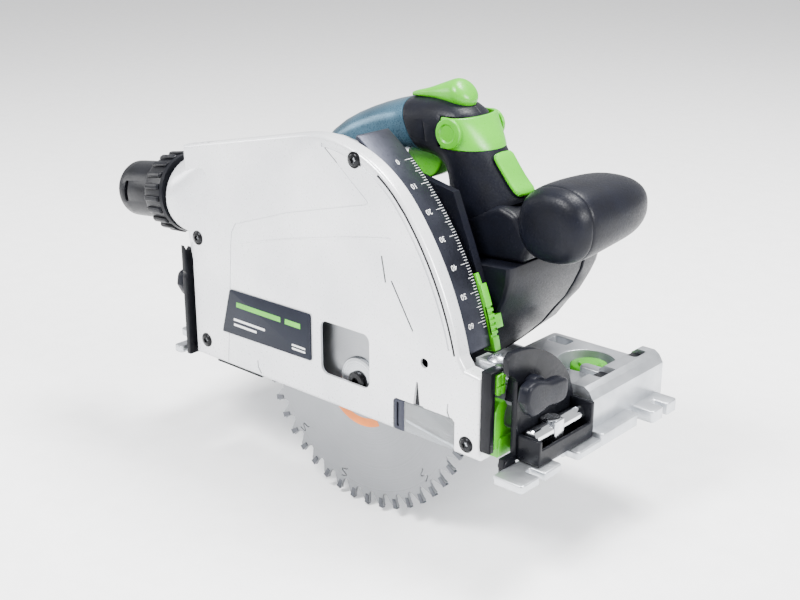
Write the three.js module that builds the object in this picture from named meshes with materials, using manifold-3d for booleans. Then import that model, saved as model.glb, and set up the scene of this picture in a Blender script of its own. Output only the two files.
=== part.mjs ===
// Track plunge saw: an electric circular saw whose motor unit swings down through a slim blade housing.
//
// Millimetres, +Z up, +X forward (cutting direction), +Y from the blade towards the motor.
// The saw is drawn plunged to full depth, at 0 degrees of bevel. Inside the file the arbor stands at X = 0 and
// the flat outer face of the blade housing at Y = 0; one outer group then moves the whole saw sideways, so that
// the origin lies on the sole, level with the arbor and in the middle of the sole plate.
import * as THREE from 'three';
import { mergeVertices } from 'three/addons/utils/BufferGeometryUtils.js';
import Module from 'manifold-3d';

const wasm = await Module();
wasm.setup();

// ---------------------------------------------------------------- driving dimensions

const GAP = 0.3;                    // air between pieces that touch
const BLADE_RADIUS = 84;
const BLADE_THICK = 1.6;
const BLADE_TEETH = 42;
const BLADE_Y = 8;                  // middle plane of the blade
const CUT_DEPTH = 62;               // blade below the sole at full plunge
const PIVOT = { x: -110.4, z: 14 }; // plunge axis, parallel to Y
const PIVOT_PIN_RADIUS = 5;
const TILT = { y: 4, z: 4 };        // bevel axis, parallel to X
const TRUNNION_RADIUS = 2.4;

const HOUSING_REAR = -147;
const HOUSING_FRONT = 98;
const HOUSING_BOTTOM = 2;
const HOUSING_DEPTH = 10;           // rim width, from the outer face
const HOUSING_TOP_DEPTH = 30;       // width of the roof behind the rim
const HOUSING_WALL = 1.6;
const TIP_ROOM = 1.4;               // between the blade's swept edge and the housing wall
const REAR_WALL_Y = 13;             // inner plate that closes the blade chamber
const REAR_WALL_THICK = 2.5;

const SCALE_RADIUS = 190;           // outside of the depth scale, about the plunge axis
const SCALE_WALL = 2.4;
const SCALE_END_Y = 38;

const SPINDLE_RADIUS = 6;
const FLANGE_RADIUS = 15;
const GEAR_MODULE = 1;
const GEAR_TEETH = 36;
const PINION_TEETH = 16;
const GEAR_FACE = { y0: 29, y1: 36 };
const MOTOR_DIRECTION = 72;         // degrees above +X, from the spindle to the motor shaft
const MOTOR_RADIUS = 37.5;
const STATOR_RADIUS = MOTOR_RADIUS - 6.5;
const MOTOR_START_Y = 50.3;
const MOTOR_END_Y = 130;
const END_CAP_Y = 160;
const SHELL_WALL = 2.5;

const GRIP_Y = 81;                  // middle plane of the main handle
const GRIP_WIDTH = 42;
const GRIP_ROUND = 11;
const FRONT_HANDLE = { x: 96, z: 127, y0: 58, seam: 80, y1: 151 };

const BASE_FRONT = 128;
const BASE_REAR = -187;
const BASE_LEFT = 16;
const BASE_RIGHT = 147;
const BASE_FLOOR = 5;
const DECK_HEIGHT = 25;
const SOLE_MIDDLE_Y = 66;           // where the origin lies

const PORT = { x: -172, y: 22, z: 107, dip: 7, radius: 25, length: 58 };

// ---------------------------------------------------------------- derived places

const rad = (degrees) => degrees * Math.PI / 180;
const polar = (centre, radius, degrees) => [
  centre.x + radius * Math.cos(rad(degrees)),
  centre.z + radius * Math.sin(rad(degrees)),
];
const ARBOR = { x: 0, z: BLADE_RADIUS - CUT_DEPTH };
const SWING_RADIUS = Math.hypot(ARBOR.x - PIVOT.x, ARBOR.z - PIVOT.z);
const angleAt = (height) => Math.asin((height - PIVOT.z) / SWING_RADIUS) * 180 / Math.PI;
const SWING_START = angleAt(ARBOR.z);
const SWING_END = angleAt(BLADE_RADIUS + GAP);
const RAISED = { x: polar(PIVOT, SWING_RADIUS, SWING_END)[0], z: BLADE_RADIUS + GAP };
const GEAR_RADIUS = GEAR_MODULE * GEAR_TEETH / 2;
const PINION_RADIUS = GEAR_MODULE * PINION_TEETH / 2;
const SHAFT_DISTANCE = GEAR_RADIUS + PINION_RADIUS;
const MOTOR = {
  x: ARBOR.x + SHAFT_DISTANCE * Math.cos(rad(MOTOR_DIRECTION)),
  z: ARBOR.z + SHAFT_DISTANCE * Math.sin(rad(MOTOR_DIRECTION)),
};
const GRIP_LEFT = GRIP_Y - GRIP_WIDTH / 2;
const GRIP_RIGHT = GRIP_Y + GRIP_WIDTH / 2;

// ---------------------------------------------------------------- materials

const material = (color, roughness, metalness) => new THREE.MeshStandardMaterial({ color, roughness, metalness });
const WHITE = material(0xe6e7e8, 0.35, 0.15);
const CAST = material(0xc9cbcc, 0.4, 0.8);
const STEEL = material(0xb9bcbf, 0.3, 1);
const CHROME = material(0xe2e4e6, 0.08, 1);
const BLACK = material(0x24252b, 0.55, 0);
const SLATE = material(0x5b7686, 0.45, 0);
const GREEN = material(0x5cb531, 0.4, 0);
const YELLOW = material(0xd8a25a, 0.5, 0.2);
const COPPER = material(0xb06a3a, 0.35, 0.9);
const CLEAR = new THREE.MeshStandardMaterial({ color: 0xdfe6ea, roughness: 0.1, transparent: true, opacity: 0.4 });

// ---------------------------------------------------------------- solids

/** Turns a closed three.js geometry into a solid that can be cut and joined. */
function solid(geometry) {
  const bare = geometry.index ? geometry.toNonIndexed() : geometry.clone();
  bare.deleteAttribute('normal');
  bare.deleteAttribute('uv');
  const merged = mergeVertices(bare, 1e-4);
  const mesh = new wasm.Mesh({
    numProp: 3,
    vertProperties: new Float32Array(merged.attributes.position.array),
    triVerts: new Uint32Array(merged.index.array),
  });
  mesh.merge();
  return new wasm.Manifold(mesh);
}

/** Joins solids into one. */
const join = (first, ...rest) => rest.reduce((sum, piece) => sum.add(piece), first);

/** Takes every further solid away from the first. */
const cut = (first, ...rest) => rest.reduce((left, piece) => left.subtract(piece), first);

/** Shape from [a, b] points, or from a ready THREE.Shape. */
function toShape(outline) {
  if (outline instanceof THREE.Shape) return outline;
  return new THREE.Shape(outline.map(([a, b]) => new THREE.Vector2(a, b)));
}

/** Prism of an outline given in X and Z, between two planes of constant Y. */
function alongY(outline, y0, y1, curveSegments = 12) {
  const geometry = new THREE.ExtrudeGeometry(toShape(outline), { depth: y1 - y0, bevelEnabled: false, curveSegments });
  geometry.rotateX(Math.PI / 2);
  geometry.translate(0, y1, 0);
  return solid(geometry);
}

/** Prism of an outline given in Y and Z, between two planes of constant X. */
function alongX(outline, x0, x1, curveSegments = 12) {
  const geometry = new THREE.ExtrudeGeometry(toShape(outline), { depth: x1 - x0, bevelEnabled: false, curveSegments });
  geometry.applyMatrix4(new THREE.Matrix4().set(0, 0, 1, x0, 1, 0, 0, 0, 0, 1, 0, 0, 0, 0, 0, 1));
  return solid(geometry);
}

/** Prism of an outline given in X and Y, between two heights. */
function alongZ(outline, z0, z1, curveSegments = 12) {
  const geometry = new THREE.ExtrudeGeometry(toShape(outline), { depth: z1 - z0, bevelEnabled: false, curveSegments });
  geometry.translate(0, 0, z0);
  return solid(geometry);
}

/** Box between two corners. */
function block(x0, x1, y0, y1, z0, z1) {
  const geometry = new THREE.BoxGeometry(x1 - x0, y1 - y0, z1 - z0);
  geometry.translate((x0 + x1) / 2, (y0 + y1) / 2, (z0 + z1) / 2);
  return solid(geometry);
}

/** Round bar parallel to Y, centred on a point in X and Z. */
function barY(centre, radius, y0, y1, sides = 28) {
  const geometry = new THREE.CylinderGeometry(radius, radius, y1 - y0, sides);
  geometry.translate(centre.x, (y0 + y1) / 2, centre.z);
  return solid(geometry);
}

/** Round bar parallel to X, centred on a point in Y and Z. */
function barX(centre, radius, x0, x1, sides = 20) {
  const geometry = new THREE.CylinderGeometry(radius, radius, x1 - x0, sides);
  geometry.rotateZ(Math.PI / 2);
  geometry.translate((x0 + x1) / 2, centre.y, centre.z);
  return solid(geometry);
}

/** Round bar parallel to Z, centred on a point in X and Y. */
function barZ(centre, radius, z0, z1, sides = 28) {
  const geometry = new THREE.CylinderGeometry(radius, radius, z1 - z0, sides);
  geometry.rotateX(Math.PI / 2);
  geometry.translate(centre.x, centre.y, (z0 + z1) / 2);
  return solid(geometry);
}

/** Solid of revolution about an axis parallel to Y; the profile is [radius, y] points from axis to axis. */
function turnedY(centre, profile, sides = 28) {
  const geometry = new THREE.LatheGeometry(profile.map(([r, y]) => new THREE.Vector2(r, y)), sides);
  geometry.translate(centre.x, 0, centre.z);
  const made = solid(geometry);
  return made.volume() > 0 ? made : solid(flipped(geometry));
}

/** The same geometry with every face turned round. */
function flipped(geometry) {
  const index = geometry.index.array;
  for (let i = 0; i < index.length; i += 3) [index[i], index[i + 1]] = [index[i + 1], index[i]];
  return geometry;
}

/** Ring parallel to Y, made as an outer bar less an inner one. */
const ringY = (centre, outer, inner, y0, y1, sides = 28) => cut(
  barY(centre, outer, y0, y1, sides),
  barY(centre, inner, y0 - 1, y1 + 1, sides),
);

/** Outline of a ring sector about a point, in degrees. */
function sector(centre, inner, outer, from, to, steps = 16) {
  const at = (radius, i) => polar(centre, radius, from + (to - from) * i / steps);
  const far = Array.from({ length: steps + 1 }, (_, i) => at(outer, i));
  const near = Array.from({ length: steps + 1 }, (_, i) => at(inner, steps - i));
  return [...far, ...near];
}

/** Rectangle with round corners, as a shape centred on a point. */
function roundedRectangle(ca, cb, width, height, radius) {
  const [w, h] = [width / 2 - radius, height / 2 - radius];
  const shape = new THREE.Shape();
  shape.absarc(ca + w, cb + h, radius, 0, Math.PI / 2);
  shape.absarc(ca - w, cb + h, radius, Math.PI / 2, Math.PI);
  shape.absarc(ca - w, cb - h, radius, Math.PI, 1.5 * Math.PI);
  shape.absarc(ca + w, cb - h, radius, 1.5 * Math.PI, 2 * Math.PI);
  return shape;
}

/** Moves every side of a counter-clockwise outline inwards by a distance. */
function inset(outline, distance) {
  const count = outline.length;
  const normal = (i) => {
    const [a, b] = [outline[i], outline[(i + 1) % count]];
    const length = Math.hypot(b[0] - a[0], b[1] - a[1]);
    return [-(b[1] - a[1]) / length, (b[0] - a[0]) / length];
  };
  return outline.map((point, i) => {
    const [m, n] = [normal((i + count - 1) % count), normal(i)];
    const scale = distance / (1 + m[0] * n[0] + m[1] * n[1]);
    return [point[0] + (m[0] + n[0]) * scale, point[1] + (m[1] + n[1]) * scale];
  });
}

// ---------------------------------------------------------------- scene

const saw = new THREE.Group();
saw.position.set(0, -SOLE_MIDDLE_Y, 0);
const model = new THREE.Group();
model.add(saw);

/** Adds one finished solid to the saw as a named mesh. */
function add(name, body, finish) {
  const mesh = body.getMesh();
  const geometry = new THREE.BufferGeometry();
  const vertices = new Float32Array(mesh.numVert * 3);
  for (let i = 0; i < mesh.numVert; i += 1) {
    for (let k = 0; k < 3; k += 1) vertices[3 * i + k] = mesh.vertProperties[i * mesh.numProp + k];
  }
  geometry.setAttribute('position', new THREE.BufferAttribute(vertices, 3));
  geometry.setIndex(new THREE.BufferAttribute(new Uint32Array(mesh.triVerts), 1));
  const node = new THREE.Mesh(geometry, finish);
  node.name = name;
  saw.add(node);
}

// ---------------------------------------------------------------- blade housing

/** Outline of the blade housing: the blade's swept edge, plus room and wall, closed by straight sides. */
function housingOutline(extra = 0) {
  const reach = TIP_ROOM + HOUSING_WALL + extra;
  const sweep = SWING_RADIUS + BLADE_RADIUS + reach;
  const crown = BLADE_RADIUS + reach;
  const lowEnd = 13.5;
  const roofAngle = 102;
  const arc = (centre, radius, from, to, steps) => Array.from(
    { length: steps + 1 },
    (_, i) => polar(centre, radius, from + (to - from) * i / steps),
  );
  const roofStart = polar(RAISED, crown, roofAngle);
  const roofSlope = Math.tan(rad(roofAngle - 90));
  const roofRear = [HOUSING_REAR - 5, roofStart[1] - (roofStart[0] - HOUSING_REAR + 5) * roofSlope];
  return [
    [HOUSING_REAR, HOUSING_BOTTOM],
    [HOUSING_FRONT, HOUSING_BOTTOM],
    [HOUSING_FRONT, 53],
    [HOUSING_FRONT - 12, 54.5],
    ...arc(PIVOT, sweep, lowEnd, SWING_END, 14),
    ...arc(RAISED, crown, SWING_END + 6, roofAngle, 12),
    roofRear,
    [HOUSING_REAR - 5, 92],
    [HOUSING_REAR, 70],
  ];
}

const WINDOW = { x: -6.5, z: 39, width: 41, height: 35 };
const CHIP_NOTCH = { x0: 33, x1: 80, z1: 23 };
const SCREWS = { top: [3, 161], rear: [-141, 85.5], low: [-137, 14], front: [88.5, 10] };
const SCREW_HOLE = 2.4;

/** Point on the dust port's dipping axis, a distance behind the neck's mouth. */
const portPoint = (distance) => new THREE.Vector3(
  PORT.x - distance * Math.cos(rad(PORT.dip)),
  PORT.y,
  PORT.z - distance * Math.sin(rad(PORT.dip)),
);

/** Bar along the dust port's axis, between two distances behind the neck's mouth. */
function portBar(radius, from, to, endRadius = radius, sides = 32) {
  const geometry = new THREE.CylinderGeometry(endRadius, radius, to - from, sides);
  geometry.rotateZ(Math.PI / 2);
  geometry.rotateY(-rad(PORT.dip));
  const middle = portPoint((from + to) / 2);
  geometry.translate(middle.x, middle.y, middle.z);
  return solid(geometry);
}

function bladeCover() {
  const outline = housingOutline();
  const chamber = inset(outline, HOUSING_WALL);
  const face = alongY(outline, 0, HOUSING_WALL);
  const rim = cut(
    alongY(outline, HOUSING_WALL - 0.01, HOUSING_DEPTH),
    alongY(chamber, HOUSING_WALL - 1, HOUSING_DEPTH + 1),
  );
  const roof = cut(
    alongY(outline, HOUSING_DEPTH - 0.01, HOUSING_TOP_DEPTH),
    alongY(chamber, HOUSING_DEPTH - 1, HOUSING_TOP_DEPTH + 1),
    block(-20, 200, 0, 60, -20, 220),
    block(-200, 200, 0, 60, -20, 98),
  );
  const neckRoot = -PORT.x + HOUSING_REAR + 3;
  const neck = cut(portBar(PORT.radius, -neckRoot - 6, 0, PORT.radius), portBar(PORT.radius - 2, -60, 1));
  const mouth = portBar(PORT.radius - 2, -neckRoot - 7, 1);
  const bosses = Object.values(SCREWS).map(([x, z]) => barY({ x, z }, 4, HOUSING_WALL - 0.01, 5.6, 20));
  const eye = (x0, x1) => join(
    barX(TILT, 4.4, x0, x1),
    block(x0, x1, 0.4, TILT.y + 4.4, TILT.z, TILT.z + 6),
  ).intersect(block(x0, x1, 0.2, 20, 0.3, 20));
  const screwHoles = Object.values(SCREWS).map(([x, z]) => barY({ x, z }, SCREW_HOLE, -1, 7, 20));
  const shell = cut(
    join(face, rim, roof, neck, ...bosses),
    mouth.intersect(block(-260, HOUSING_REAR + 4, HOUSING_WALL, 60, 0, 200)),
  );
  return cut(
    join(shell, eye(HOUSING_FRONT - 8, HOUSING_FRONT), eye(HOUSING_REAR, HOUSING_REAR + 8)),
    alongY(roundedRectangle(WINDOW.x, WINDOW.z, WINDOW.width, WINDOW.height, 5), -1, 3),
    block(CHIP_NOTCH.x0, CHIP_NOTCH.x1, -1, 3, -1, CHIP_NOTCH.z1),
    block(HOUSING_REAR + 9, HOUSING_FRONT - 9, HOUSING_WALL, HOUSING_DEPTH + 1, 0, HOUSING_BOTTOM + 2),
    barX(TILT, TRUNNION_RADIUS + GAP, HOUSING_REAR - 3, HOUSING_REAR + 12),
    barX(TILT, TRUNNION_RADIUS + GAP, HOUSING_FRONT - 12, HOUSING_FRONT + 3),
    ...screwHoles,
  );
}

const NOSE_RADIUS = 13.5;
const NOSE_START_Y = 12.4;

/** Plate that closes the blade chamber, with the curved slot that the gear case's nose swings through. */
function innerHousing() {
  const outer = inset(housingOutline(), HOUSING_WALL + GAP);
  const behindScale = sector(PIVOT, 0.5, SCALE_RADIUS - SCALE_WALL - GAP, -8, 120, 30);
  const lowFront = block(60, HOUSING_FRONT - HOUSING_WALL - GAP, 0, 60, 0, 44);
  const plate = alongY(outer, REAR_WALL_Y, REAR_WALL_Y + REAR_WALL_THICK)
    .intersect(join(alongY(behindScale, 0, 60), lowFront, block(-200, -90, 0, 60, 0, 200)));
  const slot = alongY(
    sector(PIVOT, SWING_RADIUS - NOSE_RADIUS - 2, SWING_RADIUS + NOSE_RADIUS + 2, SWING_START - 9, SWING_END + 9),
    0, 60,
  );
  const lipHeight = REAR_WALL_Y - HOUSING_DEPTH - GAP;
  const lip = cut(
    block(HOUSING_REAR + 4, 60, HOUSING_DEPTH + GAP, REAR_WALL_Y + 0.1, 3.9, 3.9 + lipHeight),
    barY(PIVOT, 12, 0, 60),
    barY(ARBOR, FLANGE_RADIUS + 3, 0, 60),
  );
  const boss = barY(PIVOT, 9, REAR_WALL_Y - 2, REAR_WALL_Y + REAR_WALL_THICK + 1.5);
  const frontLug = join(
    block(82, HOUSING_FRONT - GAP, REAR_WALL_Y, 33, 18, 31),
    block(HOUSING_FRONT - 1, TILT_PLATE.front0 - GAP, 22, 33, 18, 31),
    block(84, HOUSING_FRONT - GAP, REAR_WALL_Y, 24, 30, 58),
    barZ({ x: HOUSING_FRONT - 3, y: 19 }, 6.2, 54.5, 58),
  );
  const rearLug = block(TILT_PLATE.rear1 + GAP, HOUSING_REAR + 16, REAR_WALL_Y, 33, 18, 31);
  const body = cut(
    join(plate, lip, boss),
    barY(PIVOT, PIVOT_PIN_RADIUS + GAP, 0, 60),
    slot,
    portBar(PORT.radius + GAP, -60, 0),
    block(HOUSING_REAR, TILT_PLATE.rear1 + 4, 12, 28, CLAMP.z - 6.5, CLAMP.z + 6.5),
  );
  return join(body, frontLug, rearLug);
}

const TILT_PLATE = { front0: 106, front1: 112, rear0: -150.6, rear1: -147.4 };
const CLAMP = { y: 20, z: 47 };     // bevel clamp screw
const TILT_RANGE = 47;
const clampAngle = Math.atan2(CLAMP.z - TILT.z, CLAMP.y - TILT.y) * 180 / Math.PI;

/** Curved plate that turns with the saw; the clamp screw runs through its arc slot. */
function tiltPlate(x0, x1) {
  const centre = { x: TILT.y, z: TILT.z };
  const radius = Math.hypot(CLAMP.y - TILT.y, CLAMP.z - TILT.z);
  const [low, high] = [clampAngle - TILT_RANGE, clampAngle];
  const plate = alongX(sector(centre, radius - 10, radius + 11, low - 10, high + 8), x0, x1);
  const slot = alongX(sector(centre, radius - 3.6, radius + 3.6, low - 4.5, high + 4.5), x0 - 1, x1 + 1);
  return cut(plate, slot);
}

/** Curved black band that carries the depth scale. */
function depthScale() {
  const band = alongY(sector(PIVOT, SCALE_RADIUS - SCALE_WALL, SCALE_RADIUS, 13.5, 55, 26),
    HOUSING_DEPTH + GAP, SCALE_END_Y);
  const flange = alongY(sector(PIVOT, SCALE_RADIUS - 12, SCALE_RADIUS - 1, 13.5, 55, 26),
    REAR_WALL_Y + REAR_WALL_THICK + GAP, REAR_WALL_Y + REAR_WALL_THICK + 2.6);
  return join(band, flange);
}

const coverScrew = ([x, z]) => turnedY({ x, z }, [[0, -1.6], [3.4, -1.6], [4, -1], [4, -GAP], [2.1, -GAP],
  [2.1, 5.2], [0, 5.2]], 20);

/** Coil spring about the plunge pin that lifts the motor unit. */
function returnSpring() {
  const wire = 0.9;
  const [turns, coilRadius, y0, pitch] = [4, 7.6, 32.4, 2.2];
  class Coil extends THREE.Curve {
    getPoint(t) {
      const angle = 2 * Math.PI * turns * t;
      return new THREE.Vector3(PIVOT.x + coilRadius * Math.cos(angle), y0 + pitch * turns * t,
        PIVOT.z + coilRadius * Math.sin(angle));
    }
  }
  const section = new THREE.Shape();
  section.absarc(0, 0, wire, 0, 2 * Math.PI);
  return solid(new THREE.ExtrudeGeometry(section, { steps: 56, extrudePath: new Coil(), curveSegments: 3 }));
}

const pivotPin = () => turnedY(PIVOT, [[0, 8.2], [5, 8.2], [5, 42.5], [8.5, 42.5], [8.5, 45.5], [0, 45.5]], 28);

add('blade_cover', bladeCover(), WHITE);
add('inner_housing', innerHousing(), CAST);
add('depth_scale', depthScale(), BLACK);
add('front_tilt_plate', tiltPlate(TILT_PLATE.front0, TILT_PLATE.front1), CAST);
add('rear_tilt_plate', tiltPlate(TILT_PLATE.rear0, TILT_PLATE.rear1), CAST);
add('plunge_pivot_pin', pivotPin(), STEEL);
add('plunge_spring', returnSpring(), STEEL);
add('label_plate', alongY([[-118, 26], [-35, 26], [-35, 57], [-110, 57]], -1.1, -GAP), BLACK);
add('cover_screw_top', coverScrew(SCREWS.top), BLACK);
add('cover_screw_rear', coverScrew(SCREWS.rear), BLACK);
add('cover_screw_low', coverScrew(SCREWS.low), BLACK);
add('cover_screw_front', coverScrew(SCREWS.front), BLACK);

const notchPanel = block(CHIP_NOTCH.x0 + GAP, CHIP_NOTCH.x1 - GAP, GAP, 1.4, HOUSING_BOTTOM + GAP, CHIP_NOTCH.z1 - GAP);
add('chip_guard', notchPanel, CLEAR);

// ---------------------------------------------------------------- dust port

/** Grip collar that locks the hose connector onto the neck. */
function dustCollar() {
  const ribs = Array.from({ length: 20 }, (_, i) => {
    const around = new THREE.BoxGeometry(15, 1.6, 2.4);
    around.translate(0, 0, PORT.radius + 2);
    around.rotateX(i * Math.PI / 10);
    around.rotateY(-rad(PORT.dip));
    const middle = portPoint(10.5);
    around.translate(middle.x, middle.y, middle.z);
    return solid(around);
  });
  return cut(join(portBar(PORT.radius + 1.6, GAP, 20.5), ...ribs), portBar(PORT.radius - 4, -2, 30));
}

const dustTube = () => cut(portBar(20, 20.5 + GAP, PORT.length, 19.4), portBar(17, 10, PORT.length + 5, 16.6));

add('dust_collar', dustCollar(), BLACK);
add('dust_tube', dustTube(), BLACK);

// ---------------------------------------------------------------- front of the housing

const GUARD_FRONT = TILT_PLATE.front0 - 0.5;

/** Splinter guard: a block that slides down to the work, with a scooped thumb rest. */
function splinterGuard() {
  const side = [[4.2, 10], [7.4, 10], [7.4, 4], [20.5, 4], [20.5, 38.4], [4.2, 38.4]];
  const body = alongX(side, HOUSING_FRONT + GAP, GUARD_FRONT);
  return cut(body, barX({ y: 21, z: 27 }, 8, HOUSING_FRONT + 3, 130, 24));
}

const guardRail = () => join(
  block(HOUSING_FRONT + GAP, GUARD_FRONT, -0.4, 3.9, 9, 55),
  block(HOUSING_FRONT + GAP, HOUSING_FRONT + 2.6, -0.4, 12, 56.3, 58.3),
  block(HOUSING_FRONT + GAP, HOUSING_FRONT + 2.6, -0.4, 3.9, 54.9, 58.3),
);

add('splinter_guard', splinterGuard(), GREEN);
add('splinter_guard_rail', guardRail(), BLACK);
add('cut_pointer', block(HOUSING_FRONT + GAP, GUARD_FRONT, 4.2, 11.5, 43.5, 55.8), GREEN);

// ---------------------------------------------------------------- depth stop

const STOP = { from: 12, to: 23, y0: SCALE_END_Y + GAP, y1: 43.6 };

/** Slider that clamps on the edge of the scale. */
const depthStop = () => join(
  alongY(sector(PIVOT, SCALE_RADIUS - 5, SCALE_RADIUS + 2.5, STOP.from, STOP.to, 6), STOP.y0, STOP.y1),
  alongY(sector(PIVOT, SCALE_RADIUS + GAP, SCALE_RADIUS + 2.5, STOP.from + 1, STOP.to - 1, 6), 31, STOP.y0 + 0.1),
);

add('depth_stop', depthStop(), GREEN);

// ---------------------------------------------------------------- saw blade and spindle

/** Toothed disc with raked teeth, gullets and the round arbor hole. */
function blade() {
  const points = [];
  const pitch = 360 / BLADE_TEETH;
  for (let i = 0; i < BLADE_TEETH; i += 1) {
    const tip = i * pitch;
    points.push(polar(ARBOR, BLADE_RADIUS - 9, tip + 0.30 * pitch));
    points.push(polar(ARBOR, BLADE_RADIUS - 2.4, tip + 0.62 * pitch));
    points.push(polar(ARBOR, BLADE_RADIUS, tip + 0.95 * pitch));
    points.push(polar(ARBOR, BLADE_RADIUS - 6, tip + 1.06 * pitch));
  }
  const half = BLADE_THICK / 2;
  return cut(alongY(points, BLADE_Y - half, BLADE_Y + half), barY(ARBOR, 10, 0, 20));
}

/** Spur gear with straight-flanked teeth; a tooth stands at the given angle. */
function gearOutline(centre, teeth, toothAt) {
  const pitchRadius = GEAR_MODULE * teeth / 2;
  const [tip, root] = [pitchRadius + 0.9 * GEAR_MODULE, pitchRadius - 1.2 * GEAR_MODULE];
  const pitch = 360 / teeth;
  const backlash = 0.04 * pitch;
  const points = [];
  for (let i = 0; i < teeth; i += 1) {
    const middle = toothAt + i * pitch;
    const half = pitch / 4 - backlash;
    const degreesPerMm = 180 / Math.PI / pitchRadius;
    const rootHalf = Math.min(half + 0.42 * GEAR_MODULE * degreesPerMm, pitch / 2 - backlash);
    const tipHalf = half - 0.36 * GEAR_MODULE * degreesPerMm;
    points.push(polar(centre, root, middle - rootHalf), polar(centre, tip, middle - tipHalf));
    points.push(polar(centre, tip, middle + tipHalf), polar(centre, root, middle + rootHalf));
  }
  return points;
}

const BLADE_NEAR = BLADE_Y - BLADE_THICK / 2;
const BLADE_FAR = BLADE_Y + BLADE_THICK / 2;
const SPINDLE_BORE = 4;

const spindle = () => cut(
  barY(ARBOR, SPINDLE_RADIUS - GAP, BLADE_NEAR + 0.2, 46),
  barY(ARBOR, SPINDLE_BORE, 0, 22, 20),
);
const innerFlange = () => cut(
  join(
    barY(ARBOR, FLANGE_RADIUS, BLADE_FAR + GAP, 11.9),
    barY(ARBOR, 10 - GAP, BLADE_NEAR + 0.2, BLADE_FAR + GAP + 0.1),
  ),
  barY(ARBOR, SPINDLE_RADIUS, 0, 20),
);
const outerFlange = () => cut(
  barY(ARBOR, FLANGE_RADIUS, 4.7, BLADE_NEAR - GAP),
  barY(ARBOR, SPINDLE_BORE, 0, 20, 20),
);
const arborBolt = () => cut(
  join(barY(ARBOR, 6.5, 2.1, 4.4, 24), barY(ARBOR, SPINDLE_BORE - GAP, 4.3, 21, 20)),
  barY(ARBOR, 2.6, 1, 3.6, 6),
);
const spurGear = () => cut(
  alongY(gearOutline(ARBOR, GEAR_TEETH, MOTOR_DIRECTION), GEAR_FACE.y0, GEAR_FACE.y1),
  barY(ARBOR, SPINDLE_RADIUS, 0, 60),
);

add('saw_blade', blade(), STEEL);
add('spindle', spindle(), STEEL);
add('inner_flange', innerFlange(), STEEL);
add('outer_flange', outerFlange(), STEEL);
add('arbor_bolt', arborBolt(), BLACK);
add('spindle_gear', spurGear(), STEEL);
add('spindle_bearing_front', ringY(ARBOR, 11, SPINDLE_RADIUS, 16, 23), STEEL);
add('spindle_bearing_rear', ringY(ARBOR, 9.5, SPINDLE_RADIUS, 38, 43), STEEL);

// ---------------------------------------------------------------- gear case

const CASE_START_Y = 18;
const CASE_END_Y = 44;
const CASE_ROOM = { gear: 19.6, pinion: 10.5 };
const CASE_WALL = 1.8;

/** Outline around the two gear wells, grown by a wall. */
function wells(wall, y0, y1) {
  const gearWell = barY(ARBOR, CASE_ROOM.gear + wall, y0, y1, 36);
  const pinionWell = barY(MOTOR, CASE_ROOM.pinion + wall, y0, y1);
  const side = new THREE.Vector2(MOTOR.x - ARBOR.x, MOTOR.z - ARBOR.z).normalize();
  const across = CASE_ROOM.pinion + wall;
  const bridge = [
    [ARBOR.x + side.y * across, ARBOR.z - side.x * across],
    [MOTOR.x + side.y * across, MOTOR.z - side.x * across],
    [MOTOR.x - side.y * across, MOTOR.z + side.x * across],
    [ARBOR.x - side.y * across, ARBOR.z + side.x * across],
  ];
  return join(gearWell, pinionWell, alongY(bridge, y0, y1));
}

/** Cup around the gears, with the nose that carries the spindle and the arm to the plunge axis. */
function gearCase() {
  const armTop = [[PIVOT.x, PIVOT.z + 12], [ARBOR.x - 6, ARBOR.z + 20], [ARBOR.x - 6, ARBOR.z - 16],
    [PIVOT.x, PIVOT.z - 11]];
  const arm = join(
    alongY([...armTop].reverse(), CASE_START_Y, CASE_START_Y + 11),
    barY(PIVOT, 12, CASE_START_Y, CASE_START_Y + 13),
  );
  const nose = barY(ARBOR, NOSE_RADIUS, NOSE_START_Y, CASE_START_Y + 2, 36);
  return cut(
    join(wells(CASE_WALL, CASE_START_Y, CASE_END_Y), nose, arm),
    wells(0, CASE_START_Y + 6, CASE_END_Y + 1),
    barY(ARBOR, 11 + GAP, 15.5, 60),
    barY(ARBOR, SPINDLE_RADIUS + 2, 0, 60),
    barY(PIVOT, PIVOT_PIN_RADIUS + GAP, 0, 60),
  );
}

/** Flange between gear case and motor, with the seats of two bearings and the ribbed web that the handle stands on. */
function gearCover() {
  const outline = [[-34, 40], [-24, 14], [0, 5.8], [20, 8], [40, 30], [58, 52], [66, 78], [52, 112], [40, 140],
    [12, 146], [-8, 120], [-34, 90]];
  return cut(
    alongY(outline, CASE_END_Y + GAP, MOTOR_START_Y - GAP),
    barY(ARBOR, SPINDLE_RADIUS + 2, 0, 60),
    barY(MOTOR, 9 + GAP, 0, 60),
  ).add(cut(
    ringY(ARBOR, CASE_ROOM.gear - 1, 9.5 + GAP, 37.6, CASE_END_Y + 1),
    barY(MOTOR, CASE_ROOM.pinion, 0, 60),
  )).subtract(barY(MOTOR, 9 + GAP, 0, 60));
}

add('gear_case', gearCase(), CAST);
add('gear_cover', gearCover(), CAST);

// ---------------------------------------------------------------- motor

/** Outline of the motor housing: round below the motor, with the electronics bay in front. */
function motorOutline() {
  const belly = Array.from({ length: 9 }, (_, i) => polar(MOTOR, MOTOR_RADIUS, 200 + 85 * i / 8));
  return [...belly, [38, 27], [57, 49], [71, 70], [77, 90], [78, 100], [-70, 90], [-72, 70], [-48, 50]];
}

function motorHousing() {
  const outline = motorOutline();
  const cavity = inset(outline, SHELL_WALL);
  return cut(
    alongY(outline, MOTOR_START_Y, MOTOR_END_Y),
    alongY(cavity, MOTOR_START_Y - 1, MOTOR_END_Y + 1),
  );
}

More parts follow.
